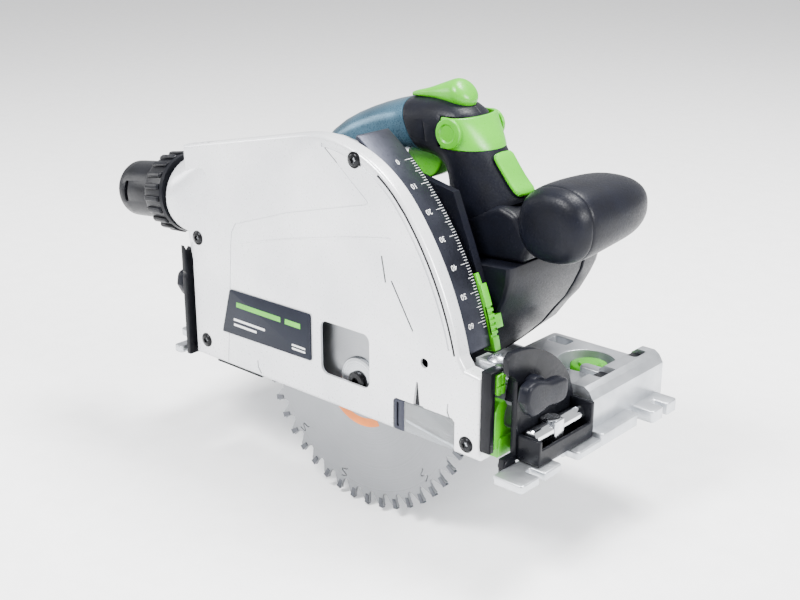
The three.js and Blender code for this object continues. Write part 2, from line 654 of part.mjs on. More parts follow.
/** Rear cap with air slots and the seat of the rear bearing. */
function endCap() {
  const outline = motorOutline();
  const small = outline.map(([x, z]) => [MOTOR.x + 0.84 * (x - MOTOR.x), 66 + 0.84 * (z - 66)]);
  const inner = inset(outline, SHELL_WALL);
  const innerSmall = inset(small, SHELL_WALL);
  const shell = join(
    cut(alongY(outline, MOTOR_END_Y + GAP, 146), alongY(inner, MOTOR_END_Y - 1, 147)),
    cut(alongY(outline, 144, 146.5), alongY(innerSmall, 140, 150)),
    cut(alongY(small, 144, END_CAP_Y), alongY(innerSmall, 140, END_CAP_Y - SHELL_WALL)),
  );
  const seat = ringY(MOTOR, 12, 9 + GAP, 149, END_CAP_Y - 1);
  const slots = [-3, -2, -1, 1, 2, 3].map((i) => block(
    MOTOR.x + 8 * i - 2, MOTOR.x + 8 * i + 2, END_CAP_Y - 6, END_CAP_Y + 1, MOTOR.z - 18, MOTOR.z + 18,
  ));
  const clear = barY(MOTOR, 13, END_CAP_Y - 6, END_CAP_Y + 1);
  return cut(join(shell, seat), ...slots.map((slot) => slot.subtract(clear)));
}

/** Laminated ring with inward poles. */
function stator() {
  const poles = Array.from({ length: 6 }, (_, i) => {
    const pole = new THREE.BoxGeometry(7, 40, 8);
    pole.translate(0, 0, STATOR_RADIUS - 7);
    pole.rotateY(i * Math.PI / 3);
    pole.translate(MOTOR.x, 86, MOTOR.z);
    return solid(pole);
  });
  return join(ringY(MOTOR, STATOR_RADIUS, STATOR_RADIUS - 4, 66, 106, 36), ...poles);
}

/** Winding: a ring at each end of the stator, joined by bars that run between the poles. */
function winding() {
  const bars = Array.from({ length: 6 }, (_, i) => {
    const bar = new THREE.BoxGeometry(6, 47, 4);
    bar.translate(0, 0, STATOR_RADIUS - 7);
    bar.rotateY((i + 0.5) * Math.PI / 3);
    bar.translate(MOTOR.x, 86, MOTOR.z);
    return solid(bar);
  });
  const [outer, inner] = [STATOR_RADIUS - 4.4, STATOR_RADIUS - 10];
  return join(ringY(MOTOR, outer, inner, 60, 65.7, 24), ringY(MOTOR, outer, inner, 106.3, 111, 24), ...bars);
}

/** Motor shaft with its pinion teeth cut on the front end. */
const motorShaft = () => join(
  barY(MOTOR, 4, 26, 156, 20),
  alongY(gearOutline(MOTOR, PINION_TEETH, MOTOR_DIRECTION + 180 + 180 / PINION_TEETH), GEAR_FACE.y0 - 0.5,
    GEAR_FACE.y1 + 0.5),
);

/** Cooling fan: a hub and back plate with upright blades. */
function fan() {
  const blades = Array.from({ length: 11 }, (_, i) => {
    const wing = new THREE.BoxGeometry(1.6, 8, 17);
    wing.translate(0, 0, STATOR_RADIUS - 11);
    wing.rotateY(2 * Math.PI * i / 11);
    wing.translate(MOTOR.x, 119, MOTOR.z);
    return solid(wing);
  });
  return cut(join(barY(MOTOR, STATOR_RADIUS - 1, 113, 115.5, 32), barY(MOTOR, 9, 113, 123), ...blades), barY(MOTOR, 4 + GAP, 0, 200, 20));
}

add('motor_housing', motorHousing(), BLACK);
add('motor_end_cap', endCap(), BLACK);
add('stator', stator(), STEEL);
add('winding', winding(), COPPER);
add('motor_shaft', motorShaft(), STEEL);
add('rotor_core', ringY(MOTOR, STATOR_RADIUS - 11.7, 4 + GAP, 66, 106), STEEL);
add('cooling_fan', fan(), BLACK);
add('motor_bearing_front', ringY(MOTOR, 9, 4 + GAP, 44.6, 49.7), STEEL);
add('motor_bearing_rear', ringY(MOTOR, 9, 4 + GAP, 150, 156), STEEL);

// ---------------------------------------------------------------- main handle

/** Closed D-shaped handle: line of the middle plane and finger opening, in X and Z. */
const HANDLE_OUTER = [[78, 100.3], [86, 118], [63, 136.5], [44, 160], [30, 182], [14, 187.5], [-18, 186],
  [-48, 176], [-80, 160], [-104, 136], [-104, 110], [-88, 89.3]];
const FINGER_GAP = [[14, 146], [6, 151.5], [-20, 151], [-52, 143], [-72, 130], [-76, 118], [-66, 109], [10, 114],
  [20, 122]];
const SHELL_SEAM = { x: -18, z: 182, lean: 26 };   // where the slate rear shells meet the black front ones

/** Body of the handle as it would be with no pockets, with round edges, moved inwards all over by a distance. */
function handleForm(depth) {
  const [y0, y1] = [GRIP_LEFT + depth, GRIP_RIGHT - depth];
  const round = GRIP_ROUND - depth;
  const geometry = new THREE.ExtrudeGeometry(toShape(inset(HANDLE_OUTER, depth)), {
    depth: y1 - y0 - 2 * round, bevelEnabled: true, bevelSize: round, bevelThickness: round, bevelOffset: -round,
    bevelSegments: 3,
  });
  geometry.rotateX(Math.PI / 2);
  geometry.translate(0, y1 - round, 0);
  return cut(solid(geometry), alongY(inset(FINGER_GAP, -depth), 0, 200));
}

/** Front handle as a solid of revolution, flattened in height; grow widens it for the seat. */
function frontHandleBody(grow = 0) {
  const { x, z, y0, y1 } = FRONT_HANDLE;
  const profile = [[0, y0 - grow], [13, y0 + 1.5 - grow], [19, y0 + 5], [23, y0 + 12], [25, y0 + 24], [25.3, y0 + 40],
    [25, y0 + 56], [23, y0 + 70], [18, y0 + 82], [10, y0 + 90 + grow], [0, y1 + grow]]
    .map(([r, y]) => new THREE.Vector2(r === 0 ? 0 : r + grow, y));
  const geometry = new THREE.LatheGeometry(profile, 32);
  geometry.scale(1, 1, 0.8);
  geometry.translate(x, 0, z);
  const made = solid(geometry);
  return made.volume() > 0 ? made : solid(flipped(geometry));
}

const TRIGGER = { x0: -23, x1: 8, y0: GRIP_Y - 8, y1: GRIP_Y + 8, hinge: { x: 5, z: 153 } };
const LEVER = { x0: -18, x1: 27, y0: GRIP_Y - 9, y1: GRIP_Y + 9, travel: 4, seat: 179.5 };
const BAND = { x: 23, z: 169.5, pad: 9.5, low: 160, high: 178.6, thick: 2.4, turn: 30, hinge: { x: 20, z: 182 } };

/** Zone of the fixing lever's band: a round pad on each side, and the strip that runs round the nose. */
const bandZone = (grow) => join(
  barY(BAND, BAND.pad + grow, 0, 200),
  block(BAND.x, 70, 0, 200, BAND.low - grow, BAND.high + grow),
);

/** Room round the band, all the way that the fixing lever turns up about its hinge. */
function bandSweep() {
  const { x, z } = BAND.hinge;
  const room = handleForm(-GAP).subtract(handleForm(BAND.thick + GAP)).intersect(bandZone(GAP));
  const steps = [5, 10, 15, 20, 25, 30].filter((angle) => angle <= BAND.turn);
  const turnedRooms = steps.map((angle) => room.translate([-x, 0, -z]).rotate([0, -angle, 0]).translate([x, 0, z]));
  return join(room, ...turnedRooms);
}

/** The whole handle, hollow, with its pockets cut, before it is split into shells. */
function handleBody() {
  const hollow = handleForm(SHELL_WALL + BAND.thick + GAP);
  const bandRoom = bandSweep();
  const triggerRoom = block(TRIGGER.x0 - 1, TRIGGER.x1 + 0.5, TRIGGER.y0 - GAP, TRIGGER.y1 + GAP, 145, 160);
  const leverRoom = block(LEVER.x0 - 1, LEVER.x1 + LEVER.travel + 1, LEVER.y0 - GAP, LEVER.y1 + GAP, LEVER.seat, 200);
  return cut(handleForm(0), hollow, bandRoom, triggerRoom, leverRoom, frontHandleBody(GAP));
}

/** Half space in front of the leaning seam between the slate and the black shells. */
function frontOfSeam(shift) {
  const lean = Math.tan(rad(SHELL_SEAM.lean));
  const at = (z) => SHELL_SEAM.x + shift + (SHELL_SEAM.z - z) * lean;
  return alongY([[at(215), 215], [at(118), 118], [-24 + shift, 80], [300, 80], [300, 215]], 0, 250);
}

const handle = handleBody();
const leftSide = block(-300, 300, 0, GRIP_Y - GAP / 2, 0, 300);
const rightSide = block(-300, 300, GRIP_Y + GAP / 2, 200, 0, 300);
const frontShell = handle.intersect(frontOfSeam(GAP / 2));
const rearShell = handle.subtract(frontOfSeam(-GAP / 2));
add('handle_front_left', frontShell.intersect(leftSide), BLACK);
add('handle_front_right', frontShell.intersect(rightSide), BLACK);
add('handle_rear_left', rearShell.intersect(leftSide), SLATE);
add('handle_rear_right', rearShell.intersect(rightSide), SLATE);

/** Green fixing lever: a band that wraps the nose of the handle, with a round pad at each end. */
const fixingBand = () => cut(handleForm(0), handleForm(BAND.thick)).intersect(bandZone(0));

const triggerOutline = [[8, 147.5], [8, 153], [4, 156], [-20, 155], [-22, 148], [-21, 136], [-12, 133.5], [2, 138]];
const topLeverOutline = [[-18, 180], [22, 180], [23.5, 185.4], [26, 187], [24, 194], [16, 198], [8, 196], [0, 189.5], [-18, 187]];

/** Strip on the front of the handle's leg, laid just proud of it. */
function legStrip() {
  const [top, foot] = [[45.4, 158.3], [61, 139]];
  const length = Math.hypot(foot[0] - top[0], foot[1] - top[1]);
  const out = [(top[1] - foot[1]) / length, (foot[0] - top[0]) / length];
  const beside = (point, distance) => [point[0] + out[0] * distance, point[1] + out[1] * distance];
  const outline = [beside(top, GAP), beside(foot, GAP), beside(foot, 2), beside(top, 2)];
  return alongY([...outline].reverse(), GRIP_Y - 8, GRIP_Y + 8);
}


add('fixing_lever', fixingBand(), GREEN);
add('trigger', alongY([...triggerOutline].reverse(), TRIGGER.y0, TRIGGER.y1), GREEN);
add('plunge_lever', alongY(topLeverOutline, LEVER.y0, LEVER.y1), GREEN);
add('leg_strip', legStrip(), GREEN);
add('switch_module', block(-22, 8, GRIP_Y - 12, GRIP_Y + 12, 160.6, 176), BLACK);

// ---------------------------------------------------------------- front handle

const frontHandle = frontHandleBody();
add('front_handle_cap', frontHandle.intersect(block(0, 200, 0, FRONT_HANDLE.seam - GAP / 2, 0, 200)), BLACK);
add('front_handle_grip', frontHandle.intersect(block(0, 200, FRONT_HANDLE.seam + GAP / 2, 250, 0, 200)), BLACK);

// ---------------------------------------------------------------- base

const WHEEL = { x: 93, y: 117, radius: 12, floor: 12, side: 1 };
const REAR_WHEEL = { ...WHEEL, x: -152, side: -1 };
const WELL = { shift: -3.5, y: 119, radius: 18.3 };
const RAIL = { width: 19, height: 33 };

/** Hollow end box of the base, open below: a deck with the well of its jaw wheel, and a taller rail at the end. */
function endBox(inner, outer, wheel) {
  const wall = 3;
  const [x0, x1] = [Math.min(inner, outer), Math.max(inner, outer)];
  const railInner = outer - wheel.side * RAIL.width;
  const [r0, r1] = [Math.min(railInner, outer), Math.max(railInner, outer)];
  const rail = [[r0, 0], [r1, 0], [r1, RAIL.height - 4], [r1 - 4, RAIL.height], [r0 + 4, RAIL.height],
    [r0, RAIL.height - 4]];
  const well = { x: wheel.x + wheel.side * WELL.shift, y: WELL.y };
  const shell = cut(
    join(block(x0, x1, 68, BASE_RIGHT, 0, DECK_HEIGHT), alongY(rail, 68, BASE_RIGHT)),
    block(x0 + wall, x1 - wall, 68 + wall, BASE_RIGHT - wall, -1, DECK_HEIGHT - wall),
  );
  const cup = barZ(well, WELL.radius + 2, wheel.floor - 3, DECK_HEIGHT);
  return cut(join(shell, cup), barZ(well, WELL.radius, wheel.floor, DECK_HEIGHT + 0.5));
}

function basePlate() {
  const floor = block(BASE_REAR, BASE_FRONT, BASE_LEFT, BASE_RIGHT, 0, BASE_FLOOR);
  const swingNotch = block(PIVOT.x - 18, 34, 0, 49.5, -1, 40);
  const guardNotch = block(HOUSING_FRONT - 2, FRONT_WALL - 1, 0, 22, -1, 40);
  const frontBox = { inner: 46, outer: BASE_FRONT };
  const rearBox = { inner: -100, outer: BASE_REAR };
  const under = (x0, x1) => block(x0 + 3, x1 - 3, 71, BASE_RIGHT - 3, -1, BASE_FLOOR + 1);
  const sideRim = block(rearBox.inner - 1, frontBox.inner + 1, BASE_RIGHT - 3, BASE_RIGHT, 0, 8);
  const feet = [
    block(FRONT_WALL + BRACKET.wall + 0.4, 137, -12, BASE_LEFT + 10, 0, BASE_FLOOR),
    block(BASE_FRONT - 4, 137, 42, 67, 0, BASE_FLOOR),
    block(BASE_FRONT - 4, 137, 66, 106, 0, 8),
    block(BASE_FRONT - 4, 143, 113, 141, 0, 8),
    block(-166, -158, -6, BASE_LEFT + 10, 0, BASE_FLOOR),
  ];
  const railGroove = block(-300, 300, 24, 40, -1, 2);
  return cut(
    join(
      cut(floor, swingNotch, guardNotch, under(frontBox.inner, BASE_FRONT), under(BASE_REAR, rearBox.inner)),
      endBox(frontBox.inner, frontBox.outer, WHEEL),
      endBox(rearBox.inner, rearBox.outer, REAR_WHEEL),
      sideRim,
      ...feet,
    ),
    railGroove,
  );
}

const BRACKET = { radius: 68, wall: 3.7, right: 65, floor: BASE_FLOOR + GAP };
const FRONT_WALL = TILT_PLATE.front1 + GAP;
const REAR_WALL = TILT_PLATE.rear0 - GAP;

/** Bevel bracket: a quadrant wall with its trunnion, and a tray in front of it. */
function bevelBracket(wallNear, direction) {
  const centre = { x: TILT.y, z: TILT.z };
  const [low, floor] = [0.4, BRACKET.floor];
  const arc = Array.from({ length: 11 }, (_, i) => polar(centre, BRACKET.radius, 34 + 58 * i / 10));
  const frontEdge = [[0, 69], [1, 60], [9.6, 55], [9.6, 9.6], [-1, 9.6], [-1, low]];
  const edge = direction > 0 ? frontEdge : [[2, 77], [-4, 79], [-4, low]];
  const outline = [[10, low], [10, floor], [BRACKET.right, floor], [BRACKET.right, 30], ...arc, ...edge];
  const span = (from, to) => [wallNear + direction * from, wallNear + direction * to].sort((a, b) => a - b);
  const wall = alongX(outline, ...span(0, BRACKET.wall));
  const box = (from, to, ...rest) => block(...span(from, to), ...rest);
  const tray = [
    box(BRACKET.wall - 0.1, 19, 11, BRACKET.right, floor, floor + 3),
    box(16.5, 19, 11, BRACKET.right, floor, 15),
    box(BRACKET.wall - 0.1, 19, 11, 14, floor, 22),
    box(BRACKET.wall - 0.1, 19, BRACKET.right - 3, BRACKET.right, floor, 28),
  ];
  const trunnion = barX(TILT, TRUNNION_RADIUS, ...span(-16, 0.1));
  return cut(
    join(wall, ...tray, trunnion),
    barX(CLAMP, 3.3, ...span(-5, 8)),
  );
}

const ROD = { x: 122.6, z: 19.6, radius: 4.8 };

/** Wing knob of the bevel clamp. */
function wingKnob(wallNear, direction) {
  const span = (from, to) => [wallNear + direction * from, wallNear + direction * to].sort((a, b) => a - b);
  const hub = barX(CLAMP, 10.5, ...span(BRACKET.wall + GAP, 17.5), 24);
  const wing = alongX([[-1, -20], [9, -12], [9.5, 12], [5, 20], [-5, 20], [-9.5, 12], [-9, -12]]
    .map(([a, b]) => [CLAMP.y + b, CLAMP.z - a]), ...span(7, 17.5));
  return cut(join(hub, wing), barX(CLAMP, 3.3, ...span(0, 12)));
}

/** Clamp screw through the tilt plate's slot and the bracket. */
function clampScrew(plateNear, wallNear, direction) {
  const headNear = plateNear - direction * GAP;
  const head = [headNear - direction * 3, headNear].sort((a, b) => a - b);
  const shank = [headNear - direction * 0.1, wallNear + direction * 11.6].sort((a, b) => a - b);
  return join(barX(CLAMP, 6, ...head, 6), barX(CLAMP, 3, ...shank));
}

/** Ribbed thumb wheel of a guide jaw. */
function jawWheel(at) {
  const points = Array.from({ length: 48 }, (_, i) => {
    const radius = at.radius - (i % 2) * 0.8;
    return [at.x + radius * Math.cos(i * Math.PI / 24), at.y + radius * Math.sin(i * Math.PI / 24)];
  });
  return join(alongZ(points, at.floor + GAP, 24), barZ(at, 5, 23.9, 26, 16));
}

const rodClamp = () => cut(
  block(ROD.x - 6.2, ROD.x + 5.8, 30, 40, 10, 25.5),
  barY(ROD, ROD.radius + GAP, 0, 80, 24),
);

add('base_plate', basePlate(), CAST);
add('front_bevel_bracket', bevelBracket(FRONT_WALL, 1), BLACK);
add('rear_bevel_bracket', bevelBracket(REAR_WALL, -1), BLACK);
add('front_guide_rod', barY(ROD, ROD.radius, 14 + GAP, BRACKET.right - 3 - GAP, 24), CHROME);
add('rod_clamp', rodClamp(), CHROME);
add('front_bevel_knob', wingKnob(FRONT_WALL, 1), BLACK);
add('rear_bevel_knob', wingKnob(REAR_WALL, -1), BLACK);
add('front_clamp_screw', clampScrew(TILT_PLATE.front0, FRONT_WALL, 1), STEEL);
add('rear_clamp_screw', clampScrew(TILT_PLATE.rear1, REAR_WALL, -1), STEEL);
add('front_jaw_wheel', jawWheel(WHEEL), GREEN);
add('rear_jaw_wheel', jawWheel(REAR_WHEEL), GREEN);

export default model;
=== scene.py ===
"""Looks of a track plunge saw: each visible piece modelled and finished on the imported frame.

Lengths in this file are millimetres on the saw's own layout: X forward from the arbor, Y from the outer
face of the blade housing towards the motor, Z up from the sole. A piece is turned to metres in the row
frame when it is finished.
"""
import math

import bpy
from mathutils import Matrix, Vector


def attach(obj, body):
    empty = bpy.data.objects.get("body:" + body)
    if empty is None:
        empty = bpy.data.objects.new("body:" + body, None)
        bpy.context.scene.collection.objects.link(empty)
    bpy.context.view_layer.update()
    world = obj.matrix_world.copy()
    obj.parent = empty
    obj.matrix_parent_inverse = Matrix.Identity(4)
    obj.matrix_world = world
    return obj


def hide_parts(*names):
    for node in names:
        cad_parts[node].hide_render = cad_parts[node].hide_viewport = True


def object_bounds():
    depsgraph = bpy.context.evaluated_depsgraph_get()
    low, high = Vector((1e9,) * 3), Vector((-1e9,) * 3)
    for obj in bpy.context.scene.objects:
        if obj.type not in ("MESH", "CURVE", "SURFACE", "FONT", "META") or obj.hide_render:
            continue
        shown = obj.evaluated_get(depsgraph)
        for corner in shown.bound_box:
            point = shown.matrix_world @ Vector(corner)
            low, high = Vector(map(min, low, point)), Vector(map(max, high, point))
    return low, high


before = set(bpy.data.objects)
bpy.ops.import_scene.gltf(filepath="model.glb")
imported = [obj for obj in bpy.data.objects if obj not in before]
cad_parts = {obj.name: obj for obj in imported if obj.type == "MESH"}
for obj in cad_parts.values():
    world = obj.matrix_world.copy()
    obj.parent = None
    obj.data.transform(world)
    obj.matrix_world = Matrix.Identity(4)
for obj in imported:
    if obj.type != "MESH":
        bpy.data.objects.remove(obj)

CAD_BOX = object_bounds()

bl_info = {
    "name": "Track plunge saw",
    "version": (1, 0, 0),
    "blender": (4, 5, 0),
    "location": "View3D > Sidebar > Plunge saw",
    "description": "Builds the visible pieces of a track plunge saw on its packed frame",
    "category": "Add Mesh",
}

MIDDLE_Y = 66.0
TO_ROW = Matrix.Scale(0.001, 4) @ Matrix.Translation((0.0, -MIDDLE_Y, 0.0))

PIVOT = (-110.4, 14.0)
ARBOR = (0.0, 22.0)
SWING = 110.7
TILT = (4.0, 4.0)
CLAMP = (20.0, 47.0)
GRIP_Y = 81.0
CROWN = (-24.9, 84.3)
CROWN_RADIUS = 87.0
BAND_HINGE = (20.0, 182.0)
SCREWS = {"top": (3, 161), "rear": (-141, 85.5), "low": (-137, 14), "front": (88.5, 10)}
ROD = (122.6, 19.6)
PORT = (-172, 22, 107)
PORT_DIP = math.radians(7)
TICK_RADIUS = 190.42
SMOOTH_BELOW = math.radians(32)
MERGE_WITHIN = 0.0005


# ---------------------------------------------------------------- colours and materials

def linear(code):
    """Linear red, green, blue and alpha of an sRGB hex colour."""
    parts = [int(code[i:i + 2], 16) / 255 for i in (1, 3, 5)]
    return [c / 12.92 if c <= 0.04045 else ((c + 0.055) / 1.055) ** 2.4 for c in parts] + [1.0]


def add_node(tree, kind, settings=(), links=()):
    """Adds a node, sets its properties or unlinked sockets, and links other nodes' sockets to it."""
    made = tree.nodes.new(kind)
    for name, value in settings:
        if isinstance(name, str) and hasattr(made, name):
            setattr(made, name, value)
        else:
            made.inputs[name].default_value = value
    for name, source in links:
        tree.links.new(source, made.inputs[name])
    return made


def new_material(name):
    """Empty node material with its output and a principled shader; returns material, tree, shader."""
    material = bpy.data.materials.new(name)
    material.use_nodes = True
    tree = material.node_tree
    tree.nodes.clear()
    shader = add_node(tree, "ShaderNodeBsdfPrincipled")
    add_node(tree, "ShaderNodeOutputMaterial", links=[("Surface", shader.outputs[0])])
    return material, tree, shader


def ramp(tree, source, low, high):
    """Colour that goes from one to another over the middle of a noise."""
    tone = add_node(tree, "ShaderNodeValToRGB", links=[(0, source)])
    for stop, place, colour in zip(tone.color_ramp.elements, (0.3, 0.7), (low, high)):
        stop.position = place
        stop.color = colour
    return tone.outputs[0]


def band_of(tree, source, low, high):
    """Value that goes from one to another over the middle of a noise."""
    return add_node(tree, "ShaderNodeMapRange", [("From Min", 0.3), ("From Max", 0.7), ("To Min", low),
                                                 ("To Max", high)], [(0, source)]).outputs[0]


def bump(tree, source, strength, distance):
    """Surface normal raised by a noise."""
    return add_node(tree, "ShaderNodeBump", [("Strength", strength), ("Distance", distance)],
                    [("Height", source)]).outputs[0]


def connect(tree, shader, **sources):
    """Links sockets to a shader's inputs; an underscore stands for a space in the input's name."""
    for name, source in sources.items():
        tree.links.new(source, shader.inputs[name.replace("_", " ")])


def grained(name, colour, second, roughness, spread, grain_mm, bump_mm, metallic=0.0, specular=0.5, coat=0.0,
            blotch_mm=18.0):
    """Finish with a fine grain in its height and gloss, and a slow change of tone over its surface."""
    material, tree, shader = new_material(name)
    place = add_node(tree, "ShaderNodeTexCoord").outputs["Object"]
    blotch, grain = [add_node(tree, "ShaderNodeTexNoise", [("Scale", 1000.0 / size), ("Detail", detail)],
                              [("Vector", place)]).outputs[0] for size, detail in ((blotch_mm, 4.0), (grain_mm, 3.0))]
    connect(tree, shader, Base_Color=ramp(tree, blotch, linear(second), colour),
            Roughness=band_of(tree, grain, roughness - spread, roughness + spread),
            Normal=bump(tree, grain, 0.6, bump_mm / 1000.0))
    shader.inputs["Metallic"].default_value = metallic
    shader.inputs["Specular IOR Level"].default_value = specular
    if coat:
        shader.inputs["Coat Weight"].default_value = coat
        shader.inputs["Coat Roughness"].default_value = 0.12
    return material


def turned_steel(name, colour, second, roughness, ring_mm):
    """Ground or turned metal: fine rings round the arbor."""
    material, tree, shader = new_material(name)
    place = add_node(tree, "ShaderNodeTexCoord").outputs["Object"]
    arbor = (ARBOR[0] / 1000, 0.0, ARBOR[1] / 1000)
    moved = add_node(tree, "ShaderNodeVectorMath", [("operation", "SUBTRACT"), (1, arbor)], [(0, place)])
    flat = add_node(tree, "ShaderNodeVectorMath", [("operation", "MULTIPLY"), (1, (1.0, 0.0, 1.0))],
                    [(0, moved.outputs[0])]).outputs[0]
    far = add_node(tree, "ShaderNodeVectorMath", [("operation", "LENGTH")], [(0, flat)]).outputs["Value"]
    rings = add_node(tree, "ShaderNodeTexNoise", [("noise_dimensions", "1D"), ("Scale", 1000.0 / ring_mm),
                                                  ("Detail", 5.0), ("Roughness", 0.7)], [("W", far)]).outputs[0]
    blotch = add_node(tree, "ShaderNodeTexNoise", [("Scale", 60.0), ("Detail", 3.0)], [("Vector", place)])
    both = add_node(tree, "ShaderNodeMix", [("data_type", "FLOAT"), ("Factor", 0.25)],
                    [(2, rings), (3, blotch.outputs[0])]).outputs[0]
    around = add_node(tree, "ShaderNodeVectorMath", [("operation", "CROSS_PRODUCT"), (1, (0.0, 1.0, 0.0))],
                      [(0, flat)]).outputs[0]
    connect(tree, shader, Base_Color=ramp(tree, both, linear(second), linear(colour)), Tangent=around,
            Roughness=band_of(tree, rings, roughness - 0.07, roughness + 0.08),
            Normal=bump(tree, rings, 0.15, 0.00001))
    shader.inputs["Anisotropic"].default_value = 0.8
    shader.inputs["Metallic"].default_value = 1.0
    return material


FINISHES = {}


def make_finishes(colours):
    """All finishes of the saw."""
    rows = {
        # Satin enamel on cast magnesium: near-white, slightly silvery, with a fine orange-peel skin.
        "enamel": ("satin_enamel_on_magnesium", colours.housing, "#cfd1d5", 0.30, 0.04, 1.6, 0.03,
                   dict(metallic=0.3, coat=0.35, blotch_mm=60)),
        # Bead-blasted cast aluminium: soft silver with a fine sparkle from the blasting.
        "cast": ("bead_blasted_cast_aluminium", colours.base, "#aeb2b7", 0.36, 0.08, 0.9, 0.05,
                 dict(metallic=0.88, blotch_mm=22)),
        # Milled and polished aluminium edges and lugs, brighter than the cast skin.
        "milled": ("milled_aluminium", "#dfe1e4", "#b9bdc2", 0.22, 0.06, 2.5, 0.015, dict(metallic=1.0, blotch_mm=9)),
        # Glass-filled nylon, spark-eroded tool: blue-black with a pebbled, half-matt grain.
        "nylon": ("spark_eroded_black_nylon", colours.shell, "#0b0c12", 0.40, 0.09, 1.1, 0.16,
                  dict(specular=0.15, blotch_mm=14)),
        # Smooth black nylon for ribs, gaskets and brackets: darker and a little glossier. It also colours the black
        # inlays that paint shadow in the housing's slits and a dark reflection inside its rim.
        "smooth_nylon": ("moulded_black_nylon", "#131419", "#0b0c10", 0.34, 0.07, 1.8, 0.04,
                         dict(specular=0.13, blotch_mm=16)),
        # Blue-grey soft-sheen nylon of the rear grip shells.
        "slate": ("blue_grey_sheen_nylon", colours.grip, "#2b4453", 0.30, 0.06, 1.0, 0.06,
                  dict(metallic=0.55, blotch_mm=24)),
        # Bright green ABS with a satin tool finish.
        "green": ("bright_green_abs", colours.control, "#41a00a", 0.32, 0.06, 1.3, 0.05, dict(blotch_mm=20)),
        # Stamped and anodised strip of the depth scale: dark grey, half gloss.
        "anodised": ("dark_anodised_aluminium", "#3b3d47", "#2e3039", 0.33, 0.06, 0.8, 0.02,
                     dict(metallic=0.85, blotch_mm=12)),
        # White pad-printed figures and lines.
        "print": ("white_pad_print", "#eceded", "#dcdddd", 0.5, 0.05, 1.0, 0.01, {}),
        # Cold-drawn, chromed guide rod with very faint draw marks.
        "chrome": ("polished_chrome_plate", "#e6e8ea", "#cfd2d6", 0.09, 0.03, 3.0, 0.004,
                   dict(metallic=1.0, blotch_mm=12)),
        # Zinc-plated machine screws.
        "zinc": ("zinc_plated_steel", "#c4c7cb", "#9da1a7", 0.28, 0.07, 1.2, 0.02, dict(metallic=1.0, blotch_mm=6)),
        # Black-oxide socket screws with a worn, oily sheen.
        "oxide": ("black_oxide_steel", "#17181b", "#0c0c0e", 0.3, 0.08, 0.9, 0.02, dict(metallic=0.7, blotch_mm=5)),
        # Sintered tungsten carbide: dull dark grey grains.
        "carbide": ("sintered_carbide", "#5d5f64", "#4c4e53", 0.38, 0.07, 0.5, 0.02, dict(metallic=0.9, blotch_mm=4)),
        # Printed orange ring of the blade.
        "orange": ("orange_silk_screen", "#e87a00", "#dd7000", 0.42, 0.05, 1.0, 0.01, dict(blotch_mm=8)),
        # Dark label foil.
        "foil": ("dark_label_foil", "#1e212b", "#171a22", 0.42, 0.05, 1.0, 0.01, dict(specular=0.1, blotch_mm=30)),
        # Enamelled copper wire set in resin, wire by wire about 0.8 mm apart.
        "copper": ("enamelled_copper_wire", "#b4693a", "#7c3f1f", 0.35, 0.1, 0.8, 0.2,
                   dict(metallic=0.8, blotch_mm=5)),
        # Laminated electrical steel: dark stacked sheets.
        "laminate": ("laminated_electrical_steel", "#84878c", "#55585d", 0.45, 0.1, 0.7, 0.08,
                     dict(metallic=0.9, blotch_mm=6)),
    }
    for key, (name, colour, *numbers, extras) in rows.items():
        FINISHES[key] = grained(name, linear(colour) if isinstance(colour, str) else colour, *numbers, **extras)
    # Machined steel of shafts, flanges and bearings, turned round the arbor.
    FINISHES["turned"] = turned_steel("turned_steel", "#c9ccd0", "#8e9297", 0.26, 0.9)
    # Saw blade plate, ground in rings about 0.8 mm apart.
    FINISHES["blade"] = turned_steel("ground_blade_steel", "#8e9093", "#7f8184", 0.34, 0.8)
    # Clear polycarbonate of the chip guard: faintly grey, with fine scuffs in its gloss.
    FINISHES["clear"], tree, shader = new_material("clear_polycarbonate")
    place = add_node(tree, "ShaderNodeTexCoord").outputs["Object"]
    scuffs = add_node(tree, "ShaderNodeTexNoise", [("Scale", 220.0), ("Detail", 6.0)], [("Vector", place)])
    gloss = add_node(tree, "ShaderNodeMapRange", [("To Min", 0.02), ("To Max", 0.16)], [(0, scuffs.outputs[0])])
    connect(tree, shader, Roughness=gloss.outputs[0])
    shader.inputs["Base Color"].default_value = linear("#e4e9ec")
    shader.inputs["Transmission Weight"].default_value = 0.9
    shader.inputs["IOR"].default_value = 1.58


# ---------------------------------------------------------------- modelling by hand, in code

def clear_selection():
    """Leaves nothing selected, in object mode."""
    if bpy.context.object and bpy.context.object.mode != "OBJECT":
        bpy.ops.object.mode_set(mode="OBJECT")
    bpy.ops.object.select_all(action="DESELECT")


def only(piece):
    """Makes one object the active and only selected one."""
    clear_selection()
    piece.select_set(True)
    bpy.context.view_layer.objects.active = piece


def unpick(*groups):
    """Clears the selection of a mesh's vertices, edges or faces."""
    for group in groups:
        for item in group:
            item.select = False


def outward(piece):
    """Merges doubles and turns all faces outwards."""
    only(piece)
    bpy.ops.object.mode_set(mode="EDIT")
    bpy.ops.mesh.select_all(action="SELECT")
    bpy.ops.mesh.remove_doubles(threshold=MERGE_WITHIN)
    bpy.ops.mesh.normals_make_consistent(inside=False)
    bpy.ops.object.mode_set(mode="OBJECT")


def spread(a, b, c, along):
    """Point with coordinates a and b across an axis and c along it."""
    return {"X": Vector((c, a, b)), "Y": Vector((a, c, b)), "Z": Vector((a, b, c))}[along]


